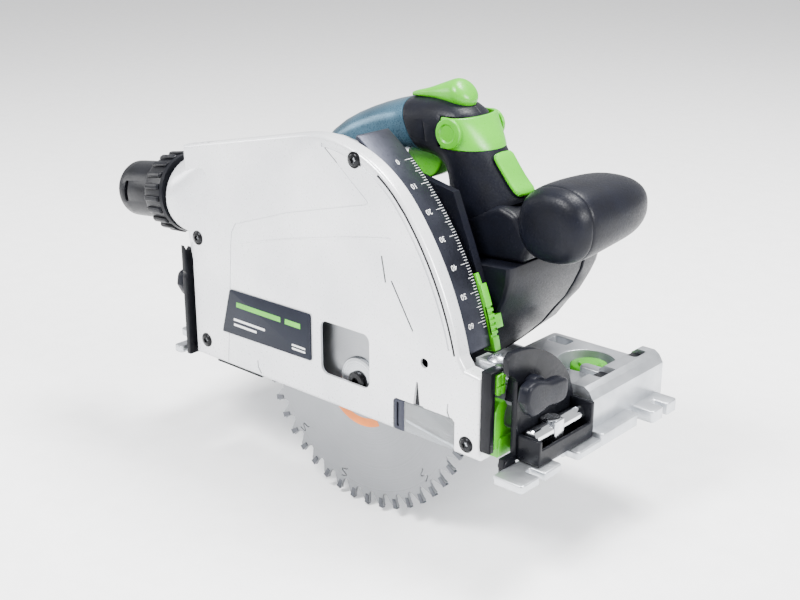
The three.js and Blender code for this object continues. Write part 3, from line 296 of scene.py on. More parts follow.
def slab(name, outline, low, high, along="Y"):
    """Solid slab: a filled ring of points laid on an outline, then extruded along an axis."""
    clear_selection()
    bpy.ops.mesh.primitive_circle_add(vertices=len(outline), radius=1.0, fill_type="NGON")
    piece = bpy.context.object
    piece.name = name
    for vertex, (a, b) in zip(piece.data.vertices, outline):
        vertex.co = spread(a, b, low, along)
    bpy.ops.object.mode_set(mode="EDIT")
    bpy.ops.mesh.select_all(action="SELECT")
    bpy.ops.mesh.extrude_region_move(TRANSFORM_OT_translate={"value": spread(0.0, 0.0, high - low, along)})
    bpy.ops.mesh.select_all(action="SELECT")
    bpy.ops.mesh.normals_make_consistent(inside=False)
    bpy.ops.object.mode_set(mode="OBJECT")
    return piece


def bar(name, centre, radius, low, high, along="Y", sides=48):
    """Round bar along an axis; centre is given across that axis."""
    steps = [2 * math.pi * i / sides for i in range(sides)]
    return slab(name, [(centre[0] + radius * math.cos(t), centre[1] + radius * math.sin(t)) for t in steps],
                low, high, along)


def bevel_edges(piece, width, segments, want):
    """Rounds, in edit mode, the edges whose two ends pass a test."""
    only(piece)
    mesh = piece.data
    unpick(mesh.vertices, mesh.edges, mesh.polygons)
    bpy.ops.object.mode_set(mode="EDIT")
    bpy.ops.mesh.select_mode(type="EDGE")
    bpy.ops.object.mode_set(mode="OBJECT")
    for edge in mesh.edges:
        edge.select = want(*[mesh.vertices[i].co for i in edge.vertices])
    bpy.ops.object.mode_set(mode="EDIT")
    bpy.ops.mesh.bevel(offset=width, segments=segments, affect="EDGES", clamp_overlap=True)
    bpy.ops.object.mode_set(mode="OBJECT")


def soften(piece, width, segments=3, angle=32):
    """Rounds every edge sharper than an angle."""
    only(piece)
    bpy.ops.object.modifier_add(type="BEVEL")
    bevel = piece.modifiers[-1]
    bevel.width = width
    bevel.segments = segments
    bevel.limit_method = "ANGLE"
    bevel.angle_limit = math.radians(angle)
    bpy.ops.object.modifier_apply(modifier=bevel.name)
    return piece


def boolean(piece, tools, operation="DIFFERENCE"):
    """Cuts or joins other solids, which are used up."""
    for tool in tools:
        only(piece)
        bpy.ops.object.modifier_add(type="BOOLEAN")
        modifier = piece.modifiers[-1]
        modifier.operation = operation
        modifier.solver = "EXACT"
        modifier.object = tool
        bpy.ops.object.modifier_apply(modifier=modifier.name)
        bpy.data.objects.remove(tool)
    return piece


def gather(name, pieces):
    """Joins objects into one, keeping each as its own shell."""
    only(pieces[0])
    for other in pieces[1:]:
        other.select_set(True)
    if len(pieces) > 1:
        bpy.ops.object.join()
    pieces[0].name = name
    return pieces[0]


def copy_of(piece, matrix):
    """Copy of a piece with its own mesh, moved by a matrix."""
    other = piece.copy()
    other.data = piece.data.copy()
    bpy.context.scene.collection.objects.link(other)
    other.data.transform(matrix)
    return other


def loft(name, rings, smooth=0):
    """Closed skin through rings of equal point count, bridged pair by pair, with its ends filled."""
    count = len(rings[0])
    clear_selection()
    bpy.ops.mesh.primitive_circle_add(vertices=count, radius=1.0)
    skin = bpy.context.object
    skin.name = name
    bpy.ops.object.mode_set(mode="EDIT")
    for _ in rings[1:]:
        bpy.ops.mesh.primitive_circle_add(vertices=count, radius=1.0)
    bpy.ops.object.mode_set(mode="OBJECT")
    for vertex, point in zip(skin.data.vertices, [p for ring in rings for p in ring]):
        vertex.co = point
    last = len(rings) - 1
    for first, span, close in [(i, 2, bpy.ops.mesh.bridge_edge_loops) for i in range(last)] + [
            (i, 1, bpy.ops.mesh.edge_face_add) for i in (0, last)]:
        choose_rings(skin, count, first, first + span)
        close()
        bpy.ops.object.mode_set(mode="OBJECT")
    outward(skin)
    if smooth:
        only(skin)
        bpy.ops.object.modifier_add(type="SUBSURF")
        skin.modifiers[-1].levels = skin.modifiers[-1].render_levels = smooth
        bpy.ops.object.modifier_apply(modifier=skin.modifiers[-1].name)
    return skin


def choose_rings(skin, count, first, last):
    """Selects the points of some rings of a loft; leaves edit mode open."""
    only(skin)
    mesh = skin.data
    unpick(mesh.edges, mesh.polygons)
    for vertex in mesh.vertices:
        vertex.select = first * count <= vertex.index < last * count
    bpy.ops.object.mode_set(mode="EDIT")
    bpy.ops.mesh.select_mode(type="VERT")


def oval(centre, across, along, power=2.0, count=40):
    """Ring of points round a centre, between an ellipse (power 2) and a rectangle (high power)."""
    points = []
    for i in range(count):
        t = 2 * math.pi * (i + 0.5) / count
        c, s = math.cos(t), math.sin(t)
        points.append(Vector(centre) + Vector(across) * math.copysign(abs(c) ** (2 / power), c)
                      + Vector(along) * math.copysign(abs(s) ** (2 / power), s))
    return points


def polar(centre, radius, degrees):
    """Point at a radius and an angle."""
    t = math.radians(degrees)
    return (centre[0] + radius * math.cos(t), centre[1] + radius * math.sin(t))


def arc(centre, radius, start, end, steps):
    """Points along an arc."""
    return [polar(centre, radius, start + (end - start) * i / steps) for i in range(steps + 1)]


def sector(centre, inner, outer, start, end, steps=48):
    """Outline of a ring sector."""
    return arc(centre, outer, start, end, steps) + arc(centre, inner, end, start, steps)


def rounded(a0, a1, b0, b1, radius, steps=6):
    """Outline of a rectangle with round corners."""
    corners = [((a1 - radius, b1 - radius), 0), ((a0 + radius, b1 - radius), 90),
               ((a0 + radius, b0 + radius), 180), ((a1 - radius, b0 + radius), 270)]
    return [p for centre, start in corners for p in arc(centre, radius, start, start + 90, steps)]


def ribbon(points, width):
    """Outline of a thin strip that follows points."""
    left, right = [], []
    for i, (a, b) in enumerate(points):
        before = points[max(i - 1, 0)]
        after = points[min(i + 1, len(points) - 1)]
        length = math.hypot(after[0] - before[0], after[1] - before[1])
        n = (-(after[1] - before[1]) / length * width / 2, (after[0] - before[0]) / length * width / 2)
        left.append((a + n[0], b + n[1]))
        right.append((a - n[0], b - n[1]))
    return left + right[::-1]


def curve(points, steps=6):
    """Smooth path through points, by Catmull and Rom's rule."""
    ends = [points[0]] + list(points) + [points[-1]]
    path = []
    for p0, p1, p2, p3 in zip(ends, ends[1:], ends[2:], ends[3:]):
        for k in range(steps):
            t = k / steps
            path.append(tuple(0.5 * (2 * b + (c - a) * t + (2 * a - 5 * b + 4 * c - d) * t * t
                                     + (3 * b - a - 3 * c + d) * t ** 3) for a, b, c, d in zip(p0, p1, p2, p3)))
    return path + [tuple(points[-1])]


def turned(name, centre, profile, along="Y", steps=48):
    """Solid of revolution: a closed profile of (radius, distance) points spun round an axis."""
    clear_selection()
    bpy.ops.mesh.primitive_circle_add(vertices=len(profile), radius=1.0)
    piece = bpy.context.object
    piece.name = name
    for vertex, (r, d) in zip(piece.data.vertices, profile):
        vertex.co = spread(centre[0] + r, centre[1], d, along)
    bpy.ops.object.mode_set(mode="EDIT")
    bpy.ops.mesh.select_all(action="SELECT")
    bpy.ops.mesh.spin(steps=steps, angle=2 * math.pi, center=spread(centre[0], centre[1], 0.0, along),
                      axis=spread(0.0, 0.0, 1.0, along))
    bpy.ops.object.mode_set(mode="OBJECT")
    outward(piece)
    return piece


def settle_soft(piece, width, body, finish, *nodes, segments=2, angle=32):
    """Rounds a piece's edges, then settles it."""
    return settle(soften(piece, width, segments, angle), body, finish, *nodes)


def settle(piece, body, finish, *nodes):
    """Puts a finished piece in the row frame, on its body, with its finish and the nodes that it stands for."""
    only(piece)
    bpy.ops.object.transform_apply(location=True, rotation=True, scale=True)
    piece.data.transform(TO_ROW)
    piece.data.materials.clear()
    piece.data.materials.append(FINISHES[finish])
    bpy.ops.object.shade_smooth_by_angle(angle=SMOOTH_BELOW)
    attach(piece, body)
    if nodes:
        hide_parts(*nodes)
    return piece


def figure(name, text, size):
    """A figure as a thin solid, lying flat with its middle at the origin."""
    clear_selection()
    bpy.ops.object.text_add()
    words = bpy.context.object
    words.data.body = text
    words.data.size = size
    words.data.align_x = "CENTER"
    words.data.align_y = "CENTER"
    words.data.extrude = 0.06
    words.data.resolution_u = 3
    bpy.ops.object.convert(target="MESH")
    words.name = name
    return words


# ---------------------------------------------------------------- blade housing

def housing_outline(shrink=0.0):
    """Outline of the blade housing, from the blade's swept edge."""
    sweep = SWING + 84.0 + 3.0 - shrink
    crown = CROWN_RADIUS - shrink
    roof = polar(CROWN, crown, 102)
    slope = math.tan(math.radians(12))
    rear = -152.0 + shrink
    return ([(-147 + shrink, 2 + shrink), (98 - shrink, 2 + shrink), (98 - shrink, 53 - shrink), (86, 54.5 - shrink)]
            + arc(PIVOT, sweep, 13.5, 39.4, 40) + arc(CROWN, crown, 43, 102, 30)
            + [(rear, roof[1] - (roof[0] - rear) * slope), (rear, 92), (-147 + shrink, 70)])


def build_cover(sizes):
    """Lacquered housing cover with its rounded roof, seams, window, notch and dust neck."""
    outline = housing_outline()
    cover = slab("housing_cover", outline, 0.0, 10.0)
    bevel_edges(cover, 2.4, 5, lambda p, q: p.y < 0.01 and q.y < 0.01 and (
        math.dist((p.x, p.z), PIVOT) > 150 or p.z > 70))
    boolean(cover, [slab("chamber", housing_outline(1.8), 1.7, 12.0)])
    groove = [polar(PIVOT, 192.2, a) for a in range(15, 40)] + [polar(CROWN, 81.6, a) for a in range(44, 92, 3)]
    seam = [(-115.4, 4), (-111.5, 45), (-108.0, 86), (-106.6, 96), (-102.5, 102.5), (-94, 105.5), (-54, 119.2),
            (11.5, 136.3), (13.6, 137.4), (12.4, 139.2), (1.9, 147.2), (-10.8, 157.3), (-20.5, 164.6)]
    lines = [(groove, sizes.groove_width * 1000, 0.7), (seam, 0.7, 0.45), ([(24, 108.4), (27.1, 92.9)], 1.1, 1.5),
             ([(31.6, 94.9), (48.1, 68.2)], 1.1, 1.5), ([(74.8, 31), (74.4, 26), (76.4, 22)], 0.9, 1.2),
             ([(-86, 13), (-85.6, 8.5), (-82.7, 4.5)], 0.9, 1.2)]
    tools = [slab("line", ribbon(points, width), -1.0, deep) for points, width, deep in lines]
    tools += [slab("wedge", [(51.0, 38.0), (48.6, 22), (57.0, 22), (52.0, 38.0)], -1.0, 1.2),
              slab("window", rounded(-27, 14, 21.5, 56.5, 5), -2.0, 3.0),
              slab("notch", [(33, -2), (80, -2), (80, 21), (78, 23), (35, 23), (33, 21)], -2.0, 3.0),
              slab("floor", [(-137, 0), (89, 0), (89, 4.5), (-137, 4.5)], 1.9, 12.0)]
    tools += [bar("seat", at, 4.9, -1.0, 0.55, sides=32) for at in SCREWS.values()]
    tools.append(bar("peephole", (57, 51), 3.0, -1.0, 3.0, sides=32))
    for start in (-141, -135.2, -129.8):
        foot = 139 + 0.21 * (start + 152)
        tools.append(slab("vent", [(start, foot), (start + 2.4, foot), (start + 6, 160), (start + 3, 160)], 1.4, 7.5))
    boolean(cover, tools)
    settle(cover, "housing", "enamel", "blade_cover")
    # Painted reflection: a thin black strip just inside the rounded rim stands in for the dark line that the rim
    # reflects.
    line = [polar(PIVOT, 195.1, a) for a in range(14, 40)] + [polar(CROWN, 84.3, a) for a in range(45, 60, 3)]
    settle(slab("rim_painted_dark_reflection", ribbon(line, 1.3), -0.12, 0.3), "housing", "smooth_nylon")

    stations = [(-14, 169.6, 10.4, 5), (-40, 167, 14.5, 12), (-70, 160.2, 15.2, 18), (-100, 153.8, 15.2, 22),
                (-125, 148.6, 15.6, 26), (-148, 143.6, 16.0, 28)]
    roof = loft("housing_roof", [oval((x, 0.9 + width, z - drop), (0, width, 0), (0, 0, drop), 5.0, 48)
                                 for x, z, width, drop in stations], 1)
    boolean(roof, [slab("chamber", housing_outline(2.2), -4, 12.8), slab("room", housing_outline(0.6), -4, 2.0)])
    settle(roof, "housing", "enamel")
    stations = [(-118, 15.6, 119, 15.4, 30, 6.0), (-133, 16.2, 116, 16.6, 30, 4.0), (-146, 18.0, 112, 20.5, 29.5, 2.8),
                (-157, 20.4, 109, 24.4, 28, 2.2), (-166, 22.0, 107.7, 26.0, 26.4, 2.0),
                (-170.6, 22.0, 107.2, 26.0, 26.0, 2.0)]
    neck_rings = [oval((x, y, z), (0, wide, 0), (0, 0, high), power, 48) for x, y, z, wide, high, power in stations]
    neck = loft("dust_neck", neck_rings, 1)
    boolean(neck, [bar("bore", (22, 107), 22.5, -180, -150, "X")])
    settle(neck, "housing", "enamel")

    # Painted shadow: black nylon inlays set inside the cut slits, the seam's top end, the wedge cut and along the
    # housing's lower edge, where the real housing shows only shade.
    painted_shadows = [slab("shade", ribbon(points, width), 0.3, 1.0) for points, width in (
        ([(24, 108.2), (27.1, 93.1)], 1.1), ([(31.7, 94.7), (48.0, 68.4)], 1.1), ([(74.4, 26), (76.3, 22.3)], 0.9),
        ([(-85.6, 8.5), (-82.8, 4.7)], 0.9), ([(-10.9, 157.4), (-20.4, 164.5)], 0.7))]
    painted_shadows.append(slab("shade", [(51.0, 37.0), (49.6, 23), (52.6, 23)], 0.9, 1.25))
    painted_shadows.append(slab("shade", [(-127, 1.5), (-83, 1.5), (-83, 2.4), (-127, 2.4)], 0.4, 2.4))
    settle(gather("painted_slit_shadows", painted_shadows), "housing", "smooth_nylon")

    ridge = curve([(-99, 89.6), (-60, 101), (-16, 111.0), (10, 116.4), (31, 119.7)], 5)
    settle_soft(slab("pressed_ridge", ribbon(ridge, 1.5), -0.28, 0.4), 0.27, "housing", "enamel")


def build_label():
    """Dark label with a slanted end; plain bars take the place of lettering."""
    label = slab("label_plate", [(-119, 25.5), (-36, 27.0), (-35, 28), (-35, 57), (-36, 58), (-109, 57), (-110.4, 56)],
                 -1.0, -0.1)
    settle_soft(label, 0.25, "housing", "foil", "label_plate")
    for name, finish, slant, bars in (
            ("label_green_bars", "green", 0.4, ((-104, 46, 42, 3.4), (-58, 46, 14, 3.4))),
            ("label_pale_bars", "print", 0.2, ((-107, 36, 30, 1.6), (-107, 32.4, 22, 1.6), (-52, 33, 12, 1.2),
                                               (-52, 30.6, 12, 1.2)))):
        settle(gather(name, [slab("bar", [(x, z), (x + w, z), (x + w, z + h), (x + slant, z + h)], -1.08, -0.95)
                             for x, z, w, h in bars]), "housing", finish)


def build_screws():
    """Four star-socket screws with round flanged heads."""
    star = [polar((0, 0), 2.2 if i % 2 == 0 else 1.5, i * 30) for i in range(12)]
    for place, (x, z) in SCREWS.items():
        head = turned("screw_" + place, (x, z), [(0, -1.2), (2.9, -1.2), (3.7, -0.8), (4.2, 0.0), (4.3, 0.5),
                                                 (0, 0.5)])
        boolean(head, [slab("socket", [(x + a, z + b) for a, b in star], -2.0, 0.2)])
        settle(head, "housing", "oxide", "cover_screw_" + place)
        # Painted highlight: a bright zinc disc at the bottom of each star socket, so the star shows light like a glint
        # on the black screw.
        glint = turned("screw_painted_glint_" + place, (x, z), [(0, 0.05), (2.0, 0.05), (2.0, 0.3), (0, 0.3)], steps=24)
        settle(glint, "housing", "zinc")
        rim = turned("screw_rim_" + place, (x, z), [(4.35, -0.3), (4.9, -0.3), (4.9, 0.55), (4.35, 0.55)])
        settle(rim, "housing", "oxide")


def build_chip_guard():
    """Clear panel in the front notch, with its dark frame and a bright milled shelf behind it."""
    settle_soft(slab("chip_window", rounded(41, 79.5, 3, 22.4, 1.2), 0.5, 1.5), 0.3, "housing", "clear", "chip_guard")
    frame_bar = slab("chip_frame", rounded(33.4, 41.4, 2.6, 22.6, 1), 0.3, 3.0)
    boolean(frame_bar, [slab("rib", rounded(35.6, 37.4, 5, 20.4, 0.8), -1, 1.6)])
    settle_soft(frame_bar, 0.35, "housing", "anodised")
    settle_soft(slab("chip_shelf", [(42, 9), (79, 4.2), (79, 6.2), (42, 11)], 1.8, 6.5), 0.4, "housing", "milled")


# ---------------------------------------------------------------- depth scale

def on_arc(radius, degrees, y):
    """Matrix that lays a flat figure on the depth scale, upright as seen from outside."""
    x, z = polar(PIVOT, radius, degrees)
    cos, sin = polar((0, 0), 1, degrees)
    outside, up = Vector((cos, 0, sin)), Vector((-sin, 0, cos))
    right = up.cross(outside)
    return Matrix.Translation((x, y, z)) @ Matrix((right, up, outside)).transposed().to_4x4()


def scale_angle(depth):
    """Angle of a depth's mark about the plunge axis."""
    return 48.9 - depth * 31.6 / 60


def build_scale():
    """Curved scale strip, its gasket, lines and figures, and the green stop."""
    strip = slab("depth_scale_strip", sector(PIVOT, 187.6, 190.4, 12.6, 56.4, 60), 10.8, 38)
    settle_soft(strip, 0.7, "housing", "anodised", "depth_scale", segments=3)
    gasket = slab("scale_gasket", sector(PIVOT, 188.5, 196.4, 14.0, 42.0, 44), 9.4, 11.2)
    settle_soft(gasket, 0.4, "housing", "smooth_nylon")
    marks = []
    for depth in range(0, 63):
        length = 6.6 if depth % 10 == 0 else 4.6 if depth % 5 == 0 else 2.8
        half = length / 2
        tick = slab("tick", [(-half, -0.11), (half, -0.11), (half, 0.11), (-half, 0.11)], -0.04, 0.07, "Z")
        tick.data.transform(on_arc(TICK_RADIUS, scale_angle(depth), 37.0 - half))
        marks.append(tick)
    for depth in range(0, 61, 10):
        number = figure("figure", str(depth), 4.8)
        number.data.transform(on_arc(TICK_RADIUS, scale_angle(depth), 24.0) @ Matrix.Rotation(math.pi, 4, "Z"))
        marks.append(number)
    settle(gather("scale_marks", marks), "housing", "print")
    stop = slab("depth_stop_slider", sector(PIVOT, 184.5, 192.6, 11.5, 23.5, 12), 38.4, 43.8)
    teeth = [slab("tooth", sector(PIVOT, 191.4, 194, a, a + 0.45, 2), 37, 46) for a in (14, 15, 16, 17, 18, 19)]
    boolean(stop, teeth)
    hook = slab("hook", sector(PIVOT, 186, 192.6, 15.2, 17.6, 4), 43.4, 49.5)
    fork = slab("fork", sector(PIVOT, 186.5, 191.5, 23.2, 25.6, 4), 38.6, 41.4)
    stop = gather("depth_stop_slider", [stop, hook, fork])
    settle_soft(stop, 0.6, "depth_stop_body", "green", "depth_stop")


# ---------------------------------------------------------------- saw blade

def build_blade(sizes):
    """Blade plate with gullets and laser slots, its carbide tips, and its printed ring."""
    radius = sizes.blade_radius * 1000
    count = sizes.tooth_count
    pitch = 360 / count
    outline = []
    for i in range(count):
        a = i * pitch
        outline += [polar(ARBOR, radius - down, a + part * pitch) for down, part in (
            (1.4, 0.05), (3.6, 0.03), (8.2, 0.08), (9.8, 0.22), (9.2, 0.38), (6.2, 0.52), (2.6, 0.66), (0.9, 0.90))]
    plate = slab("saw_blade_plate", outline, 7.2, 8.8)
    tools = [bar("bore", ARBOR, 10, 5, 11)]
    for a in (22, 94, 166, 222, 256, 316):
        path = [polar(ARBOR, 73.6 - 1.3 * k, a + (0.0, 2.6, 3.0, 0.2, -0.2, 2.6, 3.0)[k]) for k in range(7)]
        tools.append(slab("laser_slot", ribbon(curve(path, 4), 0.7), 5, 11))
    boolean(plate, tools)
    settle_soft(plate, 0.12, "spindle_set", "blade", "saw_blade", segments=1, angle=50)
    tips = [slab("tip", [polar(ARBOR, radius - down, i * pitch + part * pitch) for down, part in (
        (6.4, 0.015), (0, -0.04), (0.6, -0.30), (6.8, -0.2))], 6.85, 9.15) for i in range(count)]
    settle(gather("carbide_tips", tips), "spindle_set", "carbide")
    settle(slab("printed_ring", sector(ARBOR, 25.0, 30.6, 196, 300, 60), 7.13, 7.2), "spindle_set", "orange")
    flange = turned("clamping_flange", ARBOR, [(4.1, 4.7), (12.0, 4.7), (14.4, 5.3), (15, 6.2), (15, 6.9), (4.1, 6.9)])
    settle(flange, "spindle_set", "turned", "outer_flange")
    bolt = turned("arbor_screw", ARBOR, [(0, 2.1), (5.6, 2.1), (6.4, 2.6), (6.5, 4.5), (3.7, 4.5), (3.7, 21), (0, 21)])
    boolean(bolt, [bar("hex", ARBOR, 3.0, 0, 4.0, sides=6)])
    settle(bolt, "spindle_set", "oxide", "arbor_bolt")


# ---------------------------------------------------------------- dust port

def port_ring(distance, radius):
    """Ring round the dust port's axis, a distance behind the neck's mouth."""
    cos, sin = math.cos(PORT_DIP), math.sin(PORT_DIP)
    centre = (PORT[0] - distance * cos, PORT[1], PORT[2] - distance * sin)
    return oval(centre, (0, radius, 0), (-radius * sin, 0, radius * cos), 2.0, 60)


def build_port():
    """Ribbed locking collar and the hose tube with its slot."""
    collar = loft("dust_port_collar", [port_ring(*at) for at in (
        (-1.6, 24.0), (-1.5, 26.6), (1.2, 27.0), (1.6, 26.2), (17.5, 25.4), (20.4, 24.4), (20.6, 21.4))])
    boolean(collar, [loft("bore", [port_ring(-6, 20.4), port_ring(26, 20.4)])])
    ribs = []
    for i in range(20):
        rib = slab("rib", [(2.2, 25.0), (17.6, 24.4), (18.8, 25.2), (17.2, 27.4), (3.0, 28.0), (2.2, 27.0)], -1.9, 1.9)
        soften(rib, 0.9, 3, 40)
        rib.data.transform(Matrix.Translation(PORT) @ Matrix.Rotation(-PORT_DIP, 4, "Y")
                           @ Matrix.Rotation(2 * math.pi * i / 20, 4, "X") @ Matrix.Diagonal((-1, 1, 1, 1)))
        outward(rib)
        ribs.append(rib)
    settle(gather("dust_port_collar", [collar] + ribs), "dust_port", "smooth_nylon", "dust_collar")
    tube = loft("dust_port_tube", [port_ring(*at) for at in (
        (19.0, 20.0), (24, 20.0), (50, 19.7), (56.5, 19.5), (58, 18.8))])
    boolean(tube, [loft("bore", [port_ring(10, 17.2), port_ring(64, 17.0)]),
                   slab("slot", rounded(-222, -218.6, 95.5, 110, 1.6), -4, 8)])
    settle_soft(tube, 0.3, "dust_port", "smooth_nylon", "dust_tube", angle=50)


# ---------------------------------------------------------------- handle

HANDLE_STATIONS = [
    # outer x, outer z, inner x, inner z, half width, power
    (-104, 112, -77, 116, 19.0, 2.6),
    (-103.4, 124, -76.5, 121, 19.2, 2.6),
    (-99, 139, -73.5, 129, 19.5, 2.5),
    (-82, 159, -63, 137, 19.8, 2.5),
    (-62, 170.4, -50, 142.6, 20.0, 2.5),
    (-40, 179, -37, 147, 20.2, 2.5),
    (-22, 184.6, -22, 150.5, 20.4, 2.5),
    (-4, 187.0, -8, 151.6, 20.6, 2.5),
    (14, 187.4, 3, 151.0, 20.8, 2.4),
    (27, 183.6, 11, 147.6, 21.0, 2.3),
    (36, 173.5, 16, 140.5, 21.0, 2.2),
    (44.5, 160, 15.6, 131.5, 20.6, 2.2),
    (54, 147.8, 13.5, 124, 20.2, 2.2),
    (64, 136.5, 12.0, 116, 20.0, 2.3),
    (72, 129, 16, 104, 20.0, 2.5),
]


def handle_ring(station):
    """Cross-section of the handle between its outer and its inner line."""
    ox, oz, ix, iz, half, power = station
    middle = ((ox + ix) / 2, GRIP_Y, (oz + iz) / 2)
    return oval(middle, ((ox - ix) * 0.5, 0, (oz - iz) * 0.5), (0, half, 0), power, 44)


def part_by_plane(piece, point, normal):
    """Keeps the side of a closed piece that the normal points away from, and fills the cut."""
    only(piece)
    bpy.ops.object.mode_set(mode="EDIT")
    bpy.ops.mesh.select_all(action="SELECT")
    bpy.ops.mesh.bisect(plane_co=point, plane_no=normal, use_fill=True, clear_outer=True)
    bpy.ops.object.mode_set(mode="OBJECT")
    return piece


def band_ring(z, front, half, inset=0.0):
    """Nose-shaped loop at one height: straight sides that end in a half ellipse."""
    x0 = 23.0
    points = [Vector((x0 - 6, GRIP_Y - half + inset, z))]
    for i in range(25):
        t = math.radians(-90 + 180 * i / 24)
        points.append(Vector((x0 + (front - x0 - inset) * math.cos(t) ** 0.9 if abs(math.cos(t)) > 1e-6 else x0,
                              GRIP_Y + (half - inset) * math.sin(t), z)))
    points.append(Vector((x0 - 6, GRIP_Y + half - inset, z)))
    return points


def band_sweep(turn):
    """Room that the green band takes when it is turned up by some degrees."""
    room = loft("sweep", [band_ring(z, front + 0.4, 22.0) + band_ring(z, front - 3.0, 19.0)[::-1]
                          for z, front in ((159.6, 44.8), (169.3, 39.8), (179.0, 33.0))])
    hinge = Vector((BAND_HINGE[0], 0, BAND_HINGE[1]))
    room.data.transform(Matrix.Translation(hinge) @ Matrix.Rotation(math.radians(-turn), 4, "Y")
                        @ Matrix.Translation(-hinge))
    return room


def build_handle():
    """Main handle: blue-grey rear shells, black front shells, foot, green band, strip, trigger and lever."""
    whole = loft("grip", [handle_ring(s) for s in HANDLE_STATIONS], 1)
    lean = math.radians(26)
    normal = Vector((math.cos(lean), 0, math.sin(lean)))
    at = Vector((-18, GRIP_Y, 182))
    pocket = loft("pocket", [oval((23.0, GRIP_Y, 160.3 + 18.2 * k), (40, 0, 0), (0, 40, 0), 6, 24) for k in (0, 1)])
    core = loft("core", [oval((8, GRIP_Y, z), (front - 8, 0, 0), (0, 17.6, 0), 2.3, 40)
                         for z, front in ((150, 46.5), (160, 40.5), (179, 29.5), (186, 25))])
    boolean(pocket, [core, slab("behind", [(-60, 100), (14, 100), (14, 250), (-60, 250)], 0, 200)])
    for name, finish, side in (("rear", "slate", 1), ("front", "nylon", -1)):
        for hand, sign in (("left", 1), ("right", -1)):
            shell = copy_of(whole, Matrix.Identity(4))
            part_by_plane(shell, at - normal * side * 0.25, normal * side)
            part_by_plane(shell, Vector((0, GRIP_Y - sign * 0.12, 0)), Vector((0, sign, 0)))
            if name == "front":
                boolean(shell, [copy_of(pocket, Matrix.Identity(4))])
                boolean(shell, [slab("seam", ribbon([(-3.6, 189), (3.0, 170), (4.4, 158)], 0.5), y, y + 1.4)
                                for y in (59.6, 100.9)])
                boolean(shell, [band_sweep(turn) for turn in (6, 12, 18, 24, 30)])
            settle_soft(shell, 0.4, "saw_unit", finish, "handle_%s_%s" % (name, hand), angle=48)
    for spare in (whole, pocket):
        bpy.data.objects.remove(spare)

    foot = slab("handle_foot", [(-90, 88), (78, 99.6), (84, 112), (72, 128), (60, 132), (22, 116), (10, 113.2),
                                (-64, 108.6), (-76, 116), (-103, 116), (-103, 108)], 61.5, 100.5)
    settle_soft(foot, 7.0, "saw_unit", "nylon", segments=5)

    band = loft("fixing_band", [band_ring(z, front, 21.6) + band_ring(z, front, 21.6, 2.2)[::-1] for z, front in (
        (160.0, 44.8), (164.5, 42.6), (169.3, 39.8), (174.0, 36.6), (178.6, 33.0))])
    soften(band, 0.7, 3, 40)
    pads = []
    for y0, y1, dish in ((58.6, 61.2, 1), (100.8, 103.4, -1)):
        pad = bar("pad", (23, 169.4), 9.3, y0, y1, sides=56)
        soften(pad, 0.8, 3)
        deep = y0 - 4.2 if dish > 0 else y1 + 4.2
        clear_selection()
        bpy.ops.mesh.primitive_uv_sphere_add(segments=40, ring_count=20, radius=8.0,
                                             location=(22.4, deep - dish * 1.2, 169.4))
        boolean(pad, [bpy.context.object])
        pads.append(pad)
    settle(gather("fixing_lever_band", [band] + pads), "fixing_lever_body", "green", "fixing_lever")

    strip = loft("leg_strip", [oval((x, GRIP_Y, z), (0.62 * 1.7, 0, 0.78 * 1.7), (0, w, 0), 4.0, 28) for x, z, w in (
        (46.4, 158.9, 9.4), (49.9, 154.2, 9.0), (55.2, 147.7, 8.8), (61.0, 140.9, 8.8), (67.6, 135.6, 9.6))], 1)
    settle(strip, "saw_unit", "green", "leg_strip")

    pull = slab("trigger_blade", curve([(7, 147.5), (2, 139), (-8, 134.2), (-19, 133.6), (-22, 138), (-22, 147.5)], 5)
                + [(-20, 153), (5, 153)], GRIP_Y - 7.6, GRIP_Y + 7.6)
    settle_soft(pull, 1.6, "trigger_body", "green", "trigger", segments=4, angle=28)

    lever_rings = [oval((x, GRIP_Y, z), (lean_x, 0, high), (0, wide, 0), power, 36)
                   for x, z, lean_x, high, wide, power in (
                       (-19, 186.0, -0.1, 1.2, 6.6, 3.4), (-17, 186.6, -0.2, 1.8, 7.6, 3.4),
                       (-9, 187.6, -0.4, 2.6, 8.0, 3.0), (0, 188.8, -1.4, 4.6, 8.2, 2.3),
                       (8, 188.6, -3.6, 7.2, 9.2, 2.2), (14, 188.8, -6.0, 8.4, 10.2, 2.1),
                       (17.2, 190.4, -7.1, 7.6, 10.4, 2.0), (19.4, 192.4, -6.2, 6.4, 8.9, 2.0),
                       (20.8, 193.8, -3.6, 3.6, 5.0, 2.0))]
    settle(loft("plunge_thumb_lever", lever_rings, 1), "plunge_lever_body", "green", "plunge_lever")


def build_front_handle():
    """Round front handle: near cap and far grip, split by a fine seam."""
    profile = [(57.6, 8, 0.9, 125), (58.0, 14, 0.9, 125), (59.4, 18.6, 0.92, 125), (62, 21.6, 0.93, 125.1),
               (66, 23.6, 0.92, 125.3), (69.9, 24.7, 0.91, 125.5), (70.2, 24.0, 0.91, 125.5), (70.6, 24.0, 0.91, 125.5),
               (70.9, 24.8, 0.91, 125.6), (80, 25.6, 0.88, 126), (92, 26.0, 0.84, 126.6), (104, 26.0, 0.8, 127),
               (116, 25.2, 0.8, 127), (127, 23.2, 0.8, 127), (136, 19.8, 0.8, 127), (143, 15, 0.8, 127),
               (148, 9.4, 0.8, 127), (150.2, 4, 0.8, 127)]
    rings = [oval((96, y, z), (r, 0, 0), (0, 0, flat * r), 2.35, 64) for y, r, flat, z in profile]
    bulb = loft("front_bulb", rings, 1)
    for half, y, side, name in ((copy_of(bulb, Matrix.Identity(4)), 70.3, 1, "cap"), (bulb, 70.5, -1, "grip")):
        part_by_plane(half, Vector((0, y, 0)), Vector((0, side, 0)))
        settle(half, "saw_unit", "nylon", "front_handle_" + name)


# ---------------------------------------------------------------- motor and gear case

